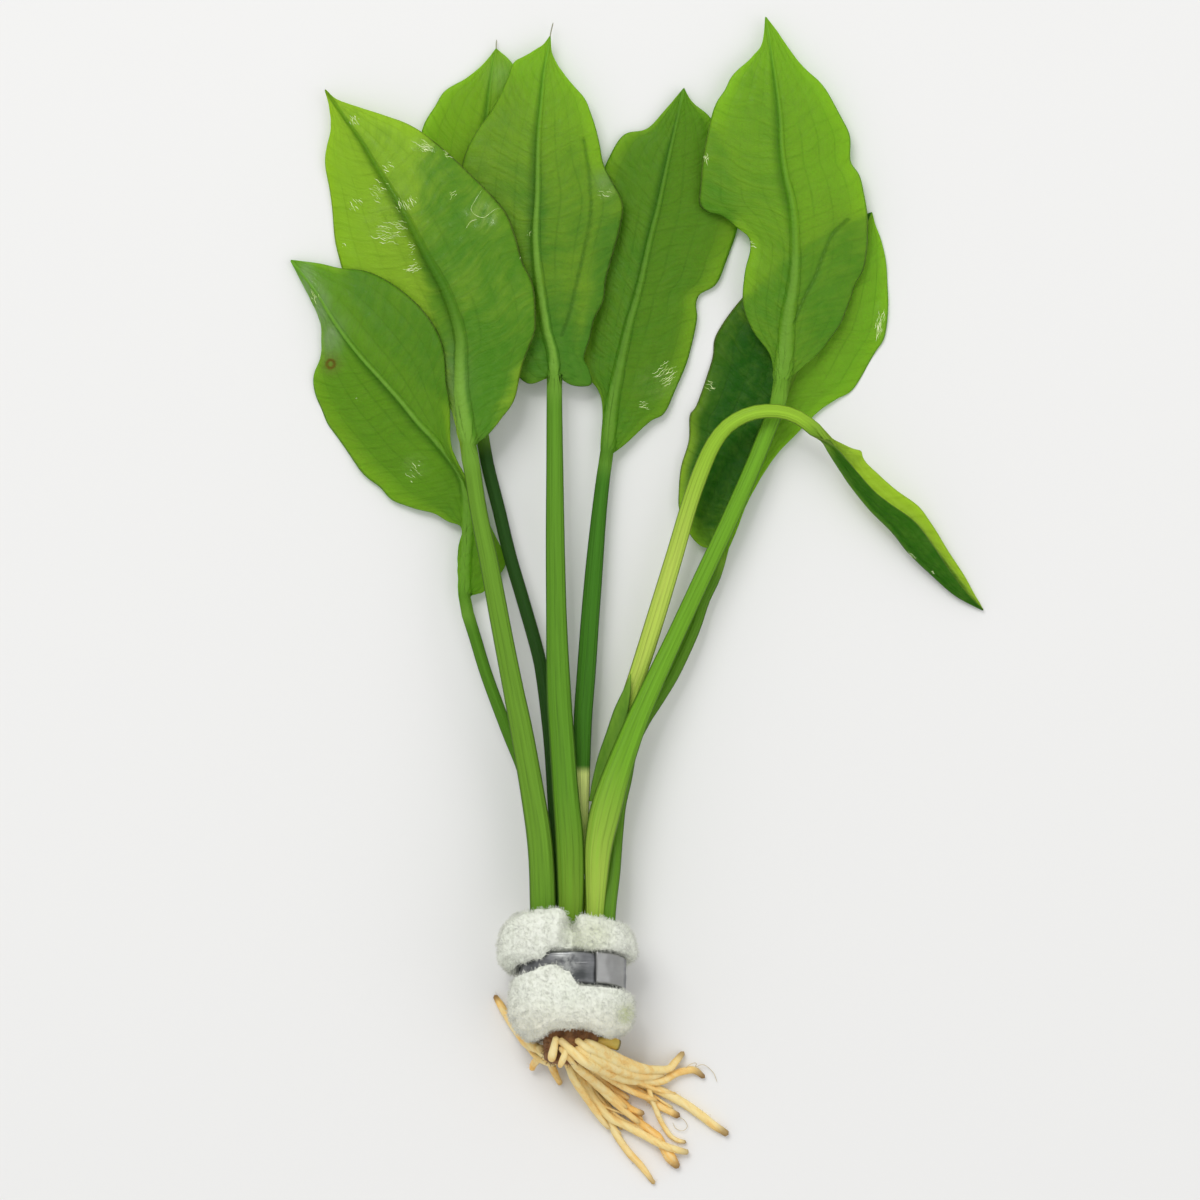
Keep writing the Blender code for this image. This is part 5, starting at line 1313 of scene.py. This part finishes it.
def hair_tree():
    """Make the tree that sets fine curved hairs on a skin."""
    tree, maker, given = new_tree("fine hairs", {
        "Points": "NodeSocketInt", "Density": "NodeSocketFloat", "Length": "NodeSocketFloat",
        "Thickness": "NodeSocketFloat", "Lean": "NodeSocketFloat", "Seed": "NodeSocketInt",
        "Material": "NodeSocketMaterial"})
    spots = maker.node("GeometryNodeDistributePointsOnFaces", None, {
        "Mesh": given["Geometry"], "Density": given["Density"], "Seed": given["Seed"]})
    hair = maker.node("GeometryNodeCurveQuadraticBezier", None, {
        "Resolution": given["Points"], "Start": (0.0, 0.0, -0.1), "Middle": (0.12, 0.0, 0.6),
        "End": (0.5, 0.0, 0.95)})
    outline = maker.node("GeometryNodeCurvePrimitiveCircle", None, {
        "Resolution": 3, "Radius": given["Thickness"]})
    hair = maker.node("GeometryNodeCurveToMesh", None, {
        "Curve": hair, "Profile Curve": outline, "Scale": 1.0, "Fill Caps": True})
    turn = maker.node("FunctionNodeRandomValue", {"data_type": "FLOAT_VECTOR"}, {
        0: (-0.5, -0.5, 0.0), 1: (0.5, 0.5, 6.283), "Seed": given["Seed"]})
    leaning = maker.vector(given["Lean"], given["Lean"], 1.0)
    turn = maker.node("ShaderNodeVectorMath", {"operation": "MULTIPLY"}, {0: turn, 1: leaning})
    turn = maker.node("FunctionNodeEulerToRotation", None, {0: turn})
    turned = maker.node("FunctionNodeRotateRotation", {"rotation_space": "LOCAL"}, {
        "Rotation": spots.other("Rotation"), "Rotate By": turn})
    size = maker.node("FunctionNodeRandomValue", {"data_type": "FLOAT"}, {
        2: 0.35, 3: 1.15, "Seed": given["Seed"]}, output=1)
    hairs = maker.node("GeometryNodeInstanceOnPoints", None, {
        "Points": spots, "Instance": hair, "Rotation": turned, "Scale": size * given["Length"]})
    hairs = maker.node("GeometryNodeRealizeInstances", None, {"Geometry": hairs})
    x, y, z = maker.axes(maker.node("GeometryNodeInputPosition"))
    above = maker.vector(x, y, z.math("MAXIMUM", HAIR_CLEARANCE))
    hairs = maker.node("GeometryNodeSetPosition", None, {"Geometry": hairs, "Position": above})
    end_tree(maker, hairs, given["Material"])
    return tree


def hair_material(name, colour):
    """Make the tissue of fine hairs."""
    material, maker = new_material(name)
    tone = maker.grain(500.0, 2.0)
    tissue = maker.blend(tone.within(0.3, 0.7), colour, shaded(colour, 0.7))
    maker.finish(tissue, 0.5 + (tone - 0.5) * 0.2)
    return material


def lumpy_rings(middle, half_size, rows, count, lumps):
    """Return rings of a stem about an axis along Y, with lumps on its skin."""
    run = at_shares(smooth([(0.0, y, 0.0, share) for y, share in rows]), np.linspace(0.0, 1.0, 70))
    angle = np.linspace(0.0, math.tau, count, endpoint=False)
    rings = np.zeros((len(run), count, 3))
    rings[:, :, 0] = middle[0] + half_size[0] * run[:, 3, None] * np.cos(angle)
    rings[:, :, 1] = run[:, 1, None]
    rings[:, :, 2] = middle[1] + half_size[1] * run[:, 3, None] * np.sin(angle)
    push = noise_at(rings, 0.55) * lumps + noise_at(rings, 1.6, 5.0) * lumps * 0.45
    centre = np.array([middle[0], 0.0, middle[1]])
    return rings + unit((rings - centre) * (1.0, 0.0, 1.0)) * push[:, :, None]


def crown_material():
    """Make the crown's skin: dark brown, scaly, with reddish scars."""
    material, maker = new_material("crown skin")
    scales = maker.cells(520.0)
    patches = maker.grain(260.0, 4.0, 0.65)
    skin_colour = maker.coats(
        (0.09, 0.034, 0.01),
        (patches.within(0.3, 0.7), (0.28, 0.115, 0.034)),
        (scales.within(0.25, 0.75) * 0.4, (0.42, 0.21, 0.07)))
    height = scales * 0.35 + patches * 0.3
    maker.finish(skin_colour, 0.55 + patches * 0.3, maker.bump(height))
    return material


def stub_material():
    """Make the cut stub: olive skin lengthwise ribbed, with a dark dried cut."""
    material, maker = new_material("stub skin")
    along = maker.attribute("along")
    streaks = maker.grain(500.0, 3.0, 0.6, maker.stretched((0.3, 1.0, 1.0)))
    skin_colour = maker.coats(
        (0.88, 0.61, 0.12),
        (streaks.within(0.3, 0.7), (0.58, 0.45, 0.08)),
        (along.within(0.84, 0.92) * 0.9, (0.11, 0.09, 0.03)))
    maker.finish(skin_colour, 0.45 + streaks * 0.2, maker.bump(streaks * 0.25))
    return material


def make_sheath_mesh():
    """Make the pointed sheath: a thin hollowed strip beside the young leaf's stalk."""
    rows = at_shares(smooth(SHEATH), np.linspace(0.0, 1.0, 60))
    directions = unit(np.gradient(rows[:, :3], axis=0))
    sideways = np.column_stack([directions[:, 1], -directions[:, 0], np.zeros(len(rows))])
    across, side = ring_layout(17)
    half = rows[:, 3] / 2
    rings = rows[:, None, :3] + sideways[:, None, :] * (half[:, None] * across)[:, :, None]
    thin = 0.24 * side * (1 - across ** 4)
    rings[:, :, 2] += thin + 0.22 * across ** 2 * half[:, None]
    mesh = skin("sheath", rings, SHEATH_TIP)
    everywhere = np.ones((len(rows), 1))
    for label, values in {"across": across[None, :] * everywhere * 0.93,
                          "along": lengths_along(rows)[:, None] * np.ones(len(across)) - 40.0}.items():
        store(mesh, label, np.concatenate([values.reshape(-1), [values[0].mean(), values[-1].mean()]]))
    return mesh


# Foam and strip

def foam_mesh(settings):
    """Make the foam wrap: the solid's shape softened, with open pores pressed into it."""
    form = bmesh.new()
    form.from_mesh(frame["nodes"]["foam_wrap"].data)
    bmesh.ops.remove_doubles(form, verts=form.verts, dist=1e-6)
    middle, turn, half_size = FOAM_FLAP
    bmesh.ops.create_icosphere(form, subdivisions=4, radius=1.0, matrix=Matrix.LocRotScale(
        Vector(middle) * MM, Euler([math.radians(angle) for angle in turn]), Vector(half_size) * MM))
    source = bpy.data.meshes.new("foam_wrap_form")
    form.to_mesh(source)
    form.free()
    carrier = placed("foam_wrap_form", source)
    remesh = carrier.modifiers.new("even faces", "REMESH")
    remesh.mode = "VOXEL"
    remesh.voxel_size = settings.grain
    depsgraph = bpy.context.evaluated_depsgraph_get()
    mesh = bpy.data.meshes.new_from_object(carrier.evaluated_get(depsgraph))
    bpy.data.objects.remove(carrier)

    form = bmesh.new()
    form.from_mesh(mesh)
    for _ in range(FOAM_SMOOTHING):
        bmesh.ops.smooth_vert(form, verts=form.verts, factor=0.5,
                              use_axis_x=True, use_axis_y=True, use_axis_z=True)
    form.normal_update()
    points = np.array([vertex.co for vertex in form.verts]) / MM
    normals = np.array([vertex.normal for vertex in form.verts])
    lumps = noise_at(points, 0.16) * 0.4 + noise_at(points, 0.45, 3.0) * 0.24
    grains = noise_at(points, 1.7, 11.0)
    pores = np.clip(noise_at(points, 1.35, 21.0) - 0.1, 0.0, 1.0)
    depth = settings.pore_depth / MM
    push = lumps + grains * depth * 0.45 - pores * depth * 1.1 - 0.12
    points = points + normals * push[:, None]
    notch_middle, notch_reach, notch_depth = FOAM_NOTCH
    from_notch = points[:, 0] - notch_middle + 0.12 * (points[:, 1] + 70.0)
    notch = np.exp(-(from_notch / notch_reach) ** 2)
    notch *= smoothstep(13.0, 17.0, points[:, 2]) * smoothstep(-79.5, -76.5, points[:, 1])
    points[:, 2] -= notch_depth * notch
    points[:, 1] -= 2.4 * notch * smoothstep(-74.0, -70.0, points[:, 1])
    bay_middle, bay_reach, bay_depth = FOAM_BAY
    bay = np.exp(-((points[:, 0] - bay_middle) / bay_reach) ** 4) * smoothstep(11.0, 16.0, points[:, 2])
    points[:, 1] += bay_depth * bay * smoothstep(-90.0, -98.0, points[:, 1])
    for x, y, reach_x, reach_y in FOAM_CORNERS:
        aside = np.clip((points[:, 0] - x) / reach_x, 0.0, None)
        up = np.clip((points[:, 1] - y) / reach_y, 0.0, None)
        pull = np.maximum(np.hypot(aside, up), 1.0) ** -0.8
        corner = (aside > 0) & (up > 0)
        points[corner, 0] = x + (points[corner, 0] - x) * pull[corner]
        points[corner, 1] = y + (points[corner, 1] - y) * pull[corner]
    points[:, 2] = np.maximum(points[:, 2], 0.02)
    for vertex, point in zip(form.verts, points):
        vertex.co = Vector(point) * MM
    form.to_mesh(mesh)
    form.free()
    turn_outwards(mesh)
    store(mesh, "pore", np.clip(pores * 3.0 - grains * 0.4, 0.0, 1.0))
    return mesh


def foam_material(settings):
    """Make open-pored foam: near white, with painted grey-green shade in its pores, stained where it is
    wet.
    """
    material, maker = new_material("planting foam")
    pore = maker.attribute("pore")
    tufts = maker.grain(700.0, 4.0, 0.7)
    clouds = maker.grain(70.0, 3.0, 0.6)
    lower = (maker.axes(maker.place())[1] / MM).within(-86.0, -96.0)
    foot_stain = maker.apart(-2.6, -91.6).within(3.8, 0.6)
    mouth_stain = maker.apart(-10.5, -74.5).within(8.5, 2.0)
    stained = (foot_stain * 0.7).math("MAXIMUM", mouth_stain * 0.42) * (0.6 + clouds * 0.8)
    foam = maker.coats(
        settings.colour,
        (clouds.within(0.3, 0.75) * 0.6, (0.8, 0.85, 0.72)),
        (lower * 0.66, (0.82, 0.78, 0.62)),
        # Painted shade in the pores
        (pore * 0.14, (0.6, 0.64, 0.52)),
        (tufts.within(0.35, 0.75) * 0.35, (0.95, 0.955, 0.9)),
        (stained.within(0.0, 0.9), settings.stain))
    height = tufts * 0.3 - maker.cells(1100.0) * 0.2
    maker.finish(foam, 0.92 + (tufts - 0.5) * 0.1, maker.bump(height), Specular_IOR_Level=0.25)
    return material


def strip_mesh(settings):
    """Make the strip: one turn about the wrap and a lap over its own end, with worn rounded edges."""
    travelled = np.linspace(0.0, math.tau + STRIP_OVERLAP, STRIP_STATIONS)
    angle = STRIP_END - travelled
    layer = STRIP_LAYER * np.clip(1.0 - (travelled - STRIP_OVERLAP * 1.2) / STRIP_RAMP, 0.0, 1.0)
    across_reach = np.abs(np.cos(angle) / (STRIP_HALF_SIZE[0] + layer)) ** WRAP_SQUARENESS
    upward_reach = np.abs(np.sin(angle) / (STRIP_HALF_SIZE[1] + layer)) ** WRAP_SQUARENESS
    radius = (across_reach + upward_reach) ** (-1.0 / WRAP_SQUARENESS)
    centre = np.column_stack([STRIP_AXIS[0] + radius * np.cos(angle),
                              STRIP_AXIS[1] + WRAP_LEAN * radius * np.sin(angle),
                              STRIP_AXIS[2] + radius * np.sin(angle)])
    forward = unit(np.gradient(centre, axis=0))
    outward = unit(np.cross(forward, np.array([0.0, 1.0, 0.0])))
    across, side = ring_layout(STRIP_POINTS_ACROSS)
    profile = side * np.sqrt(np.clip(1 - np.abs(across) ** 22, 0.0, 1.0)) * STRIP_THICKNESS / 2
    rings = centre[:, None, :] + outward[:, None, :] * profile[None, :, None]
    rings[:, :, 1] += across * STRIP_WIDTH / 2
    inside = rings - outward[:, None, :] * profile[None, :, None]
    dents = noise_at(inside, 0.3, 2.0)
    wrinkles = noise_at(inside * (1.0, 0.35, 1.0), 0.9, 7.0)
    push = (dents + 0.5 * wrinkles) * settings.dents / MM
    rings += outward[:, None, :] * push[:, :, None]
    ragged = noise_at(rings, 0.5, 13.0) * 0.18
    rings[:, :, 1] += ragged * np.abs(across) ** 6
    mesh = skin("weight_strip", rings)
    values = np.broadcast_to(travelled[:, None], rings.shape[:2]).reshape(-1)
    store(mesh, "travelled", np.concatenate([values, [0.0, travelled[-1]]]))
    return mesh


def strip_material(settings):
    """Make soft rolled metal: dull grey, streaked, with scratches, pale lint, a paler lapped end and a
    painted shadow beside that end.
    """
    material, maker = new_material("rolled metal")
    travelled = maker.attribute("travelled")
    clouds = maker.grain(150.0, 4.0, 0.6)
    streaks = maker.grain(700.0, 3.0, 0.6, maker.stretched((0.18, 1.0, 0.18)))
    scratches = maker.grain(1500.0, 2.0, 0.5, maker.stretched((0.06, 1.0, 0.06))).within(0.66, 0.74)
    lint = maker.apart(-16.2, -79.4).within(4.4, 0.8) * maker.grain(520.0, 3.0, 0.6).within(0.3, 0.62)
    metal = maker.coats(
        settings.colour,
        (clouds.within(0.3, 0.7), (0.085, 0.092, 0.095)),
        # Painted shadow beside the lapped end of the strip
        (maker.apart(-12.6, -82.4).within(3.4, 0.6) * 0.75, (0.06, 0.066, 0.066)),
        (travelled.within(0.78, 0.6) * 0.75, (0.4, 0.4, 0.39)),
        (lint * 0.75, (0.6, 0.615, 0.59)),
        (streaks.within(0.4, 0.7) * 0.25, (0.42, 0.425, 0.43)),
        (scratches * 0.5, (0.6, 0.6, 0.6)))
    height = clouds * 0.12 + streaks * 0.05 - scratches * 0.04
    maker.finish(metal, 0.44 + (clouds - 0.5) * 0.25, maker.bump(height), Metallic=0.85)
    return material


# Water

def ridge_runs(name, tissue, seed):
    """Lay the runs of the water ridges on a blade: wavy lines side by side over its upper face."""
    chance = np.random.default_rng(seed)
    runs = [smooth([(x, y, 0.0) for x, y in path], 6)[:, :2] for path in SQUIGGLES.get(name, ())]
    for x, y, reach, spread, heading, count in RIPPLES.get(name, ()):
        turn = math.radians(heading)
        for aside in np.linspace(-0.95, 0.95, 2 * count):
            half = reach * math.sqrt(1 - aside ** 2) * chance.uniform(0.12, 0.75)
            u = chance.uniform(-0.5, 0.5) * reach + np.linspace(-half, half, 8 + round(half * 8))
            bends = chance.uniform(1.2, 3.4) * u + chance.uniform(0.0, 6.0)
            v = aside * spread + chance.uniform(0.04, 0.22) * np.sin(bends)
            v += 0.07 * np.sin(6.5 * u + chance.uniform(0.0, 6.0))
            runs.append(np.column_stack([x + u * math.cos(turn) - v * math.sin(turn),
                                         y + u * math.sin(turn) + v * math.cos(turn)]))
    tree = BVHTree.FromPolygons([vertex.co for vertex in tissue.vertices],
                                [tuple(face.vertices) for face in tissue.polygons])
    points, edges, radii = [], [], []
    for run in runs:
        taper = np.sin(np.linspace(0.05, math.pi - 0.05, len(run))) ** 0.6
        joined = False
        for (x, y), share in zip(run, chance.uniform(*RIDGE_RADII) * taper):
            hit = tree.ray_cast(Vector((x, y, 60.0)) * MM, Vector((0.0, 0.0, -1.0)))[0]
            if hit is not None:
                points.append(hit)
                radii.append(share * MM)
                if joined:
                    edges.append((len(points) - 2, len(points) - 1))
            joined = hit is not None
    mesh = bpy.data.meshes.new(f"{name}_water")
    mesh.from_pydata(points, edges, [])
    store(mesh, "radius_here", radii)
    return mesh


def water_material():
    """Make thin water: green like the blade beneath, with its pale yellow-white a painted glint."""
    material, maker = new_material("water")
    tone = maker.grain(800.0, 2.0)
    # The pale yellow-white is a painted glint on the water
    clear = maker.blend(tone.within(0.3, 0.7), (0.46, 0.66, 0.15), (0.92, 0.98, 0.62))
    maker.finish(clear, 0.1 + tone * 0.08, IOR=1.33)
    return material


class SWORDPLANT_OT_stage(bpy.types.Operator):
    """Make the floor, the lights and the camera"""

    bl_idname = "sword_plant.stage"
    bl_label = "Stage"

    def execute(self, context):
        settings = context.scene.plant_stage
        mesh = bpy.data.meshes.new("floor")
        corners = [(x * FLOOR_REACH, y * FLOOR_REACH, FLOOR_HEIGHT)
                   for x, y in ((-1, -1), (1, -1), (1, 1), (-1, 1))]
        mesh.from_pydata(corners, [], [(0, 1, 2, 3)])
        floor = placed("floor", mesh)
        material, maker = new_material("pale floor")
        tone = maker.grain(3.0, 2.0)
        colour = maker.blend(tone, settings.floor_colour, shaded(settings.floor_colour, 0.975))
        maker.finish(colour, 0.7 + tone * 0.1, Specular_IOR_Level=0.2)
        mesh.materials.append(material)

        world = bpy.data.worlds.new("even light")
        world.use_nodes = True
        background = world.node_tree.nodes["Background"]
        background.inputs["Color"].default_value = (1.0, 1.0, 0.995, 1.0)
        background.inputs["Strength"].default_value = settings.sky
        context.scene.world = world
        for name, (place, size, share) in LAMPS.items():
            lamp = bpy.data.lights.new(name, "AREA")
            lamp.shape = "SQUARE"
            lamp.size = size
            lamp.energy = settings.key * share
            carrier = placed(name, lamp)
            carrier.location = place
            carrier.rotation_euler = (-Vector(place)).to_track_quat("-Z", "Y").to_euler()

        lens = bpy.data.cameras.new("camera")
        lens.sensor_width = SENSOR_WIDTH
        lens.lens = FOCAL_LENGTH
        lens.clip_end = 20.0
        camera = placed("camera", lens)
        camera.location = CAMERA_PLACE
        context.scene.camera = camera
        context.scene.view_settings.view_transform = "Standard"
        return {"FINISHED"}


class SWORDPLANT_OT_leaves(bpy.types.Operator):
    """Make the leaves, each one grown piece of stalk, rib and blade"""

    bl_idname = "sword_plant.leaves"
    bl_label = "Leaves"

    def execute(self, context):
        settings = context.scene.plant_leaves
        for number, (name, leaf) in enumerate(LEAVES.items()):
            mesh = make_leaf(name, leaf, settings, 17.0 * number)
            material = leaf_material(name, LEAF_LOOKS[name], settings)
            slot = "young_leaf" if name == "leaf_bent" else "leaf"
            add_piece(f"{name}_tissue", mesh, material, slot, name)
        return {"FINISHED"}


class SWORDPLANT_OT_sheath(bpy.types.Operator):
    """Make the thin pointed sheath beside the young leaf"""

    bl_idname = "sword_plant.sheath"
    bl_label = "Sheath"

    def execute(self, context):
        material, maker = new_material("sheath tissue")
        across = maker.attribute("across")
        streaks = maker.grain(600.0, 3.0, 0.6, maker.stretched((1.0, 0.3, 1.0)))
        tissue = maker.coats(
            (0.12, 0.29, 0.018),
            (streaks.within(0.3, 0.7), (0.18, 0.37, 0.028)),
            (abs(across).within(0.62, 0.9) * 0.75, (0.045, 0.11, 0.012)))
        maker.finish(tissue, 0.45 + streaks * 0.15, maker.bump(streaks * 0.2), (0.35, 0.6, 0.04), 0.2,
                     Specular_IOR_Level=0.18)
        add_piece("sheath_tissue", make_sheath_mesh(), material, "leaf", "sheath")
        return {"FINISHED"}


class SWORDPLANT_OT_crown(bpy.types.Operator):
    """Make the crown and the stub of a cut stalk"""

    bl_idname = "sword_plant.crown"
    bl_label = "Crown"

    def execute(self, context):
        rings = lumpy_rings(CROWN_MIDDLE, CROWN_HALF_SIZE, CROWN_RINGS, 96, 0.38)
        mesh = skin("crown_skin", rings)
        add_piece("crown_skin", mesh, crown_material(), "crown", "crown")
        add_tube(tube_tree(), "cut_stub_skin", run_mesh("cut_stub", CUT_STUB, 0.06), stub_material(),
                 "stub", ("cut_stub",), spacing=0.0002, sides=24, lumps=0.00015, lump_scale=500.0)
        return {"FINISHED"}


class SWORDPLANT_OT_roots(bpy.types.Operator):
    """Make the roots, each a tube along its own run"""

    bl_idname = "sword_plant.roots"
    bl_label = "Roots"

    def execute(self, context):
        settings = context.scene.plant_roots
        tree = tube_tree()
        strands = {f"root_strand_{number}": strand_rows(*strand, number)
                   for number, strand in enumerate(STRANDS)}
        for name, rows in (*ROOTS.items(), *THIN_ROOTS.items(), *strands.items()):
            run = run_mesh(name, rooted(rows) if name in ROOTS else rows, 0.8)
            material = root_material(name, *ROOT_LOOKS.get(name, THIN_ROOT_LOOKS), settings)
            add_tube(tree, f"{name}_skin", run, material, "root", (name,) if name in ROOTS else (),
                     spacing=settings.ring_spacing, sides=16, lumps=settings.lumps, lump_scale=330.0)
        return {"FINISHED"}


class SWORDPLANT_OT_hairs(bpy.types.Operator):
    """Make the fine hairs on the roots and at the leaf tips"""

    bl_idname = "sword_plant.hairs"
    bl_label = "Fine hairs"

    def execute(self, context):
        settings = context.scene.plant_roots
        down = hair_material("root hair", (0.7, 0.52, 0.26))
        form = bmesh.new()
        for name in ROOTS:
            form.from_mesh(bpy.data.objects[f"{name}_skin"].data)
        skins = bpy.data.meshes.new("root_skins")
        form.to_mesh(skins)
        form.free()
        made = run_tree(hair_tree(), skins, {
            "Points": 3, "Density": settings.hair_density, "Length": 0.0008, "Thickness": 0.028,
            "Lean": 1.2, "Seed": settings.seed, "Material": down})
        add_piece("root_hairs", made, None, "root")
        made = run_tree(hair_tree(), bpy.data.objects["crown_skin"].data.copy(), {
            "Points": 3, "Density": 1800000.0, "Length": 0.0009, "Thickness": 0.05, "Lean": 1.8,
            "Seed": settings.seed, "Material": hair_material("crown fibre", (0.3, 0.13, 0.04))})
        add_piece("crown_fibres", made, None, "crown")
        tree = tube_tree()
        for name, rows in HAIRS.items():
            slot = "leaf" if "tip" in name else "root"
            radius, colour = HAIR_LOOKS[slot]
            run = run_mesh(name, [(*row, radius) for row in rows])
            add_tube(tree, name, run, hair_material(name, colour), slot,
                     spacing=0.0003, sides=6, lumps=0.00002, lump_scale=900.0)
        return {"FINISHED"}


class SWORDPLANT_OT_foam(bpy.types.Operator):
    """Make the foam wrap and the fibres that stand out of it"""

    bl_idname = "sword_plant.foam"
    bl_label = "Foam wrap"

    def execute(self, context):
        settings = context.scene.plant_foam
        mesh = foam_mesh(settings)
        foam = add_piece("foam_wrap_body", mesh, foam_material(settings), "foam", "foam_wrap")
        tissue = hair_material("foam fibre", (0.93, 0.94, 0.86))
        for tuft in range(FIBRE_PIECES):
            fibres = run_tree(hair_tree(), mesh.copy(), {
                "Points": 2, "Density": settings.fibre_density / FIBRE_PIECES,
                "Length": settings.fibre_length, "Thickness": 0.052, "Lean": 1.8,
                "Seed": settings.seed + tuft, "Material": tissue})
            add_piece(f"foam_wrap_fibres_{tuft + 1}", fibres, None, "foam")
        return {"FINISHED"}


class SWORDPLANT_OT_strip(bpy.types.Operator):
    """Make the soft metal strip round the foam"""

    bl_idname = "sword_plant.strip"
    bl_label = "Metal strip"

    def execute(self, context):
        settings = context.scene.plant_strip
        add_piece("weight_strip_metal", strip_mesh(settings), strip_material(settings), "strip",
                  "weight_strip")
        return {"FINISHED"}


class SWORDPLANT_OT_water(bpy.types.Operator):
    """Make the ridges of water left on the blades"""

    bl_idname = "sword_plant.water"
    bl_label = "Water"

    def execute(self, context):
        tree = tube_tree()
        material = water_material()
        for seed, name in enumerate(RIPPLES):
            runs = ridge_runs(name, bpy.data.objects[f"{name}_tissue"].data, seed)
            slot = "young_leaf" if name == "leaf_bent" else "leaf"
            add_tube(tree, f"{name}_water", runs, material, slot,
                     spacing=0.00025, sides=6, lumps=0.00006, lump_scale=1400.0)
        return {"FINISHED"}


STEPS = ("stage", "leaves", "sheath", "crown", "roots", "hairs", "foam", "strip", "water")


class SWORDPLANT_PT_panel(bpy.types.Panel):
    """Lists the plant's pieces and their settings"""

    bl_idname = "SWORDPLANT_PT_panel"
    bl_label = "Sword Plant"
    bl_space_type = "VIEW_3D"
    bl_region_type = "UI"
    bl_category = "Sword Plant"

    def draw(self, context):
        for step in STEPS:
            self.layout.operator(f"sword_plant.{step}")
        for group in SETTINGS:
            settings = getattr(context.scene, group)
            box = self.layout.box()
            for label in settings.bl_rna.properties.keys():
                if label not in ("rna_type", "name"):
                    box.prop(settings, label)


SETTINGS = {"plant_stage": StageSettings, "plant_leaves": LeafSettings, "plant_roots": RootSettings,
            "plant_foam": FoamSettings, "plant_strip": StripSettings}

CLASSES = (*SETTINGS.values(), SWORDPLANT_OT_stage, SWORDPLANT_OT_leaves, SWORDPLANT_OT_sheath,
           SWORDPLANT_OT_crown, SWORDPLANT_OT_roots, SWORDPLANT_OT_hairs, SWORDPLANT_OT_foam,
           SWORDPLANT_OT_strip, SWORDPLANT_OT_water, SWORDPLANT_PT_panel)


def register():
    for each in CLASSES:
        bpy.utils.register_class(each)
    for group, kind in SETTINGS.items():
        setattr(bpy.types.Scene, group, PointerProperty(type=kind))


def unregister():
    for group in SETTINGS:
        delattr(bpy.types.Scene, group)
    for each in reversed(CLASSES):
        bpy.utils.unregister_class(each)


def main():
    """Build the plant and its stage."""
    register()
    for step in STEPS:
        getattr(bpy.ops.sword_plant, step)()


if __name__ == "__main__":
    main()
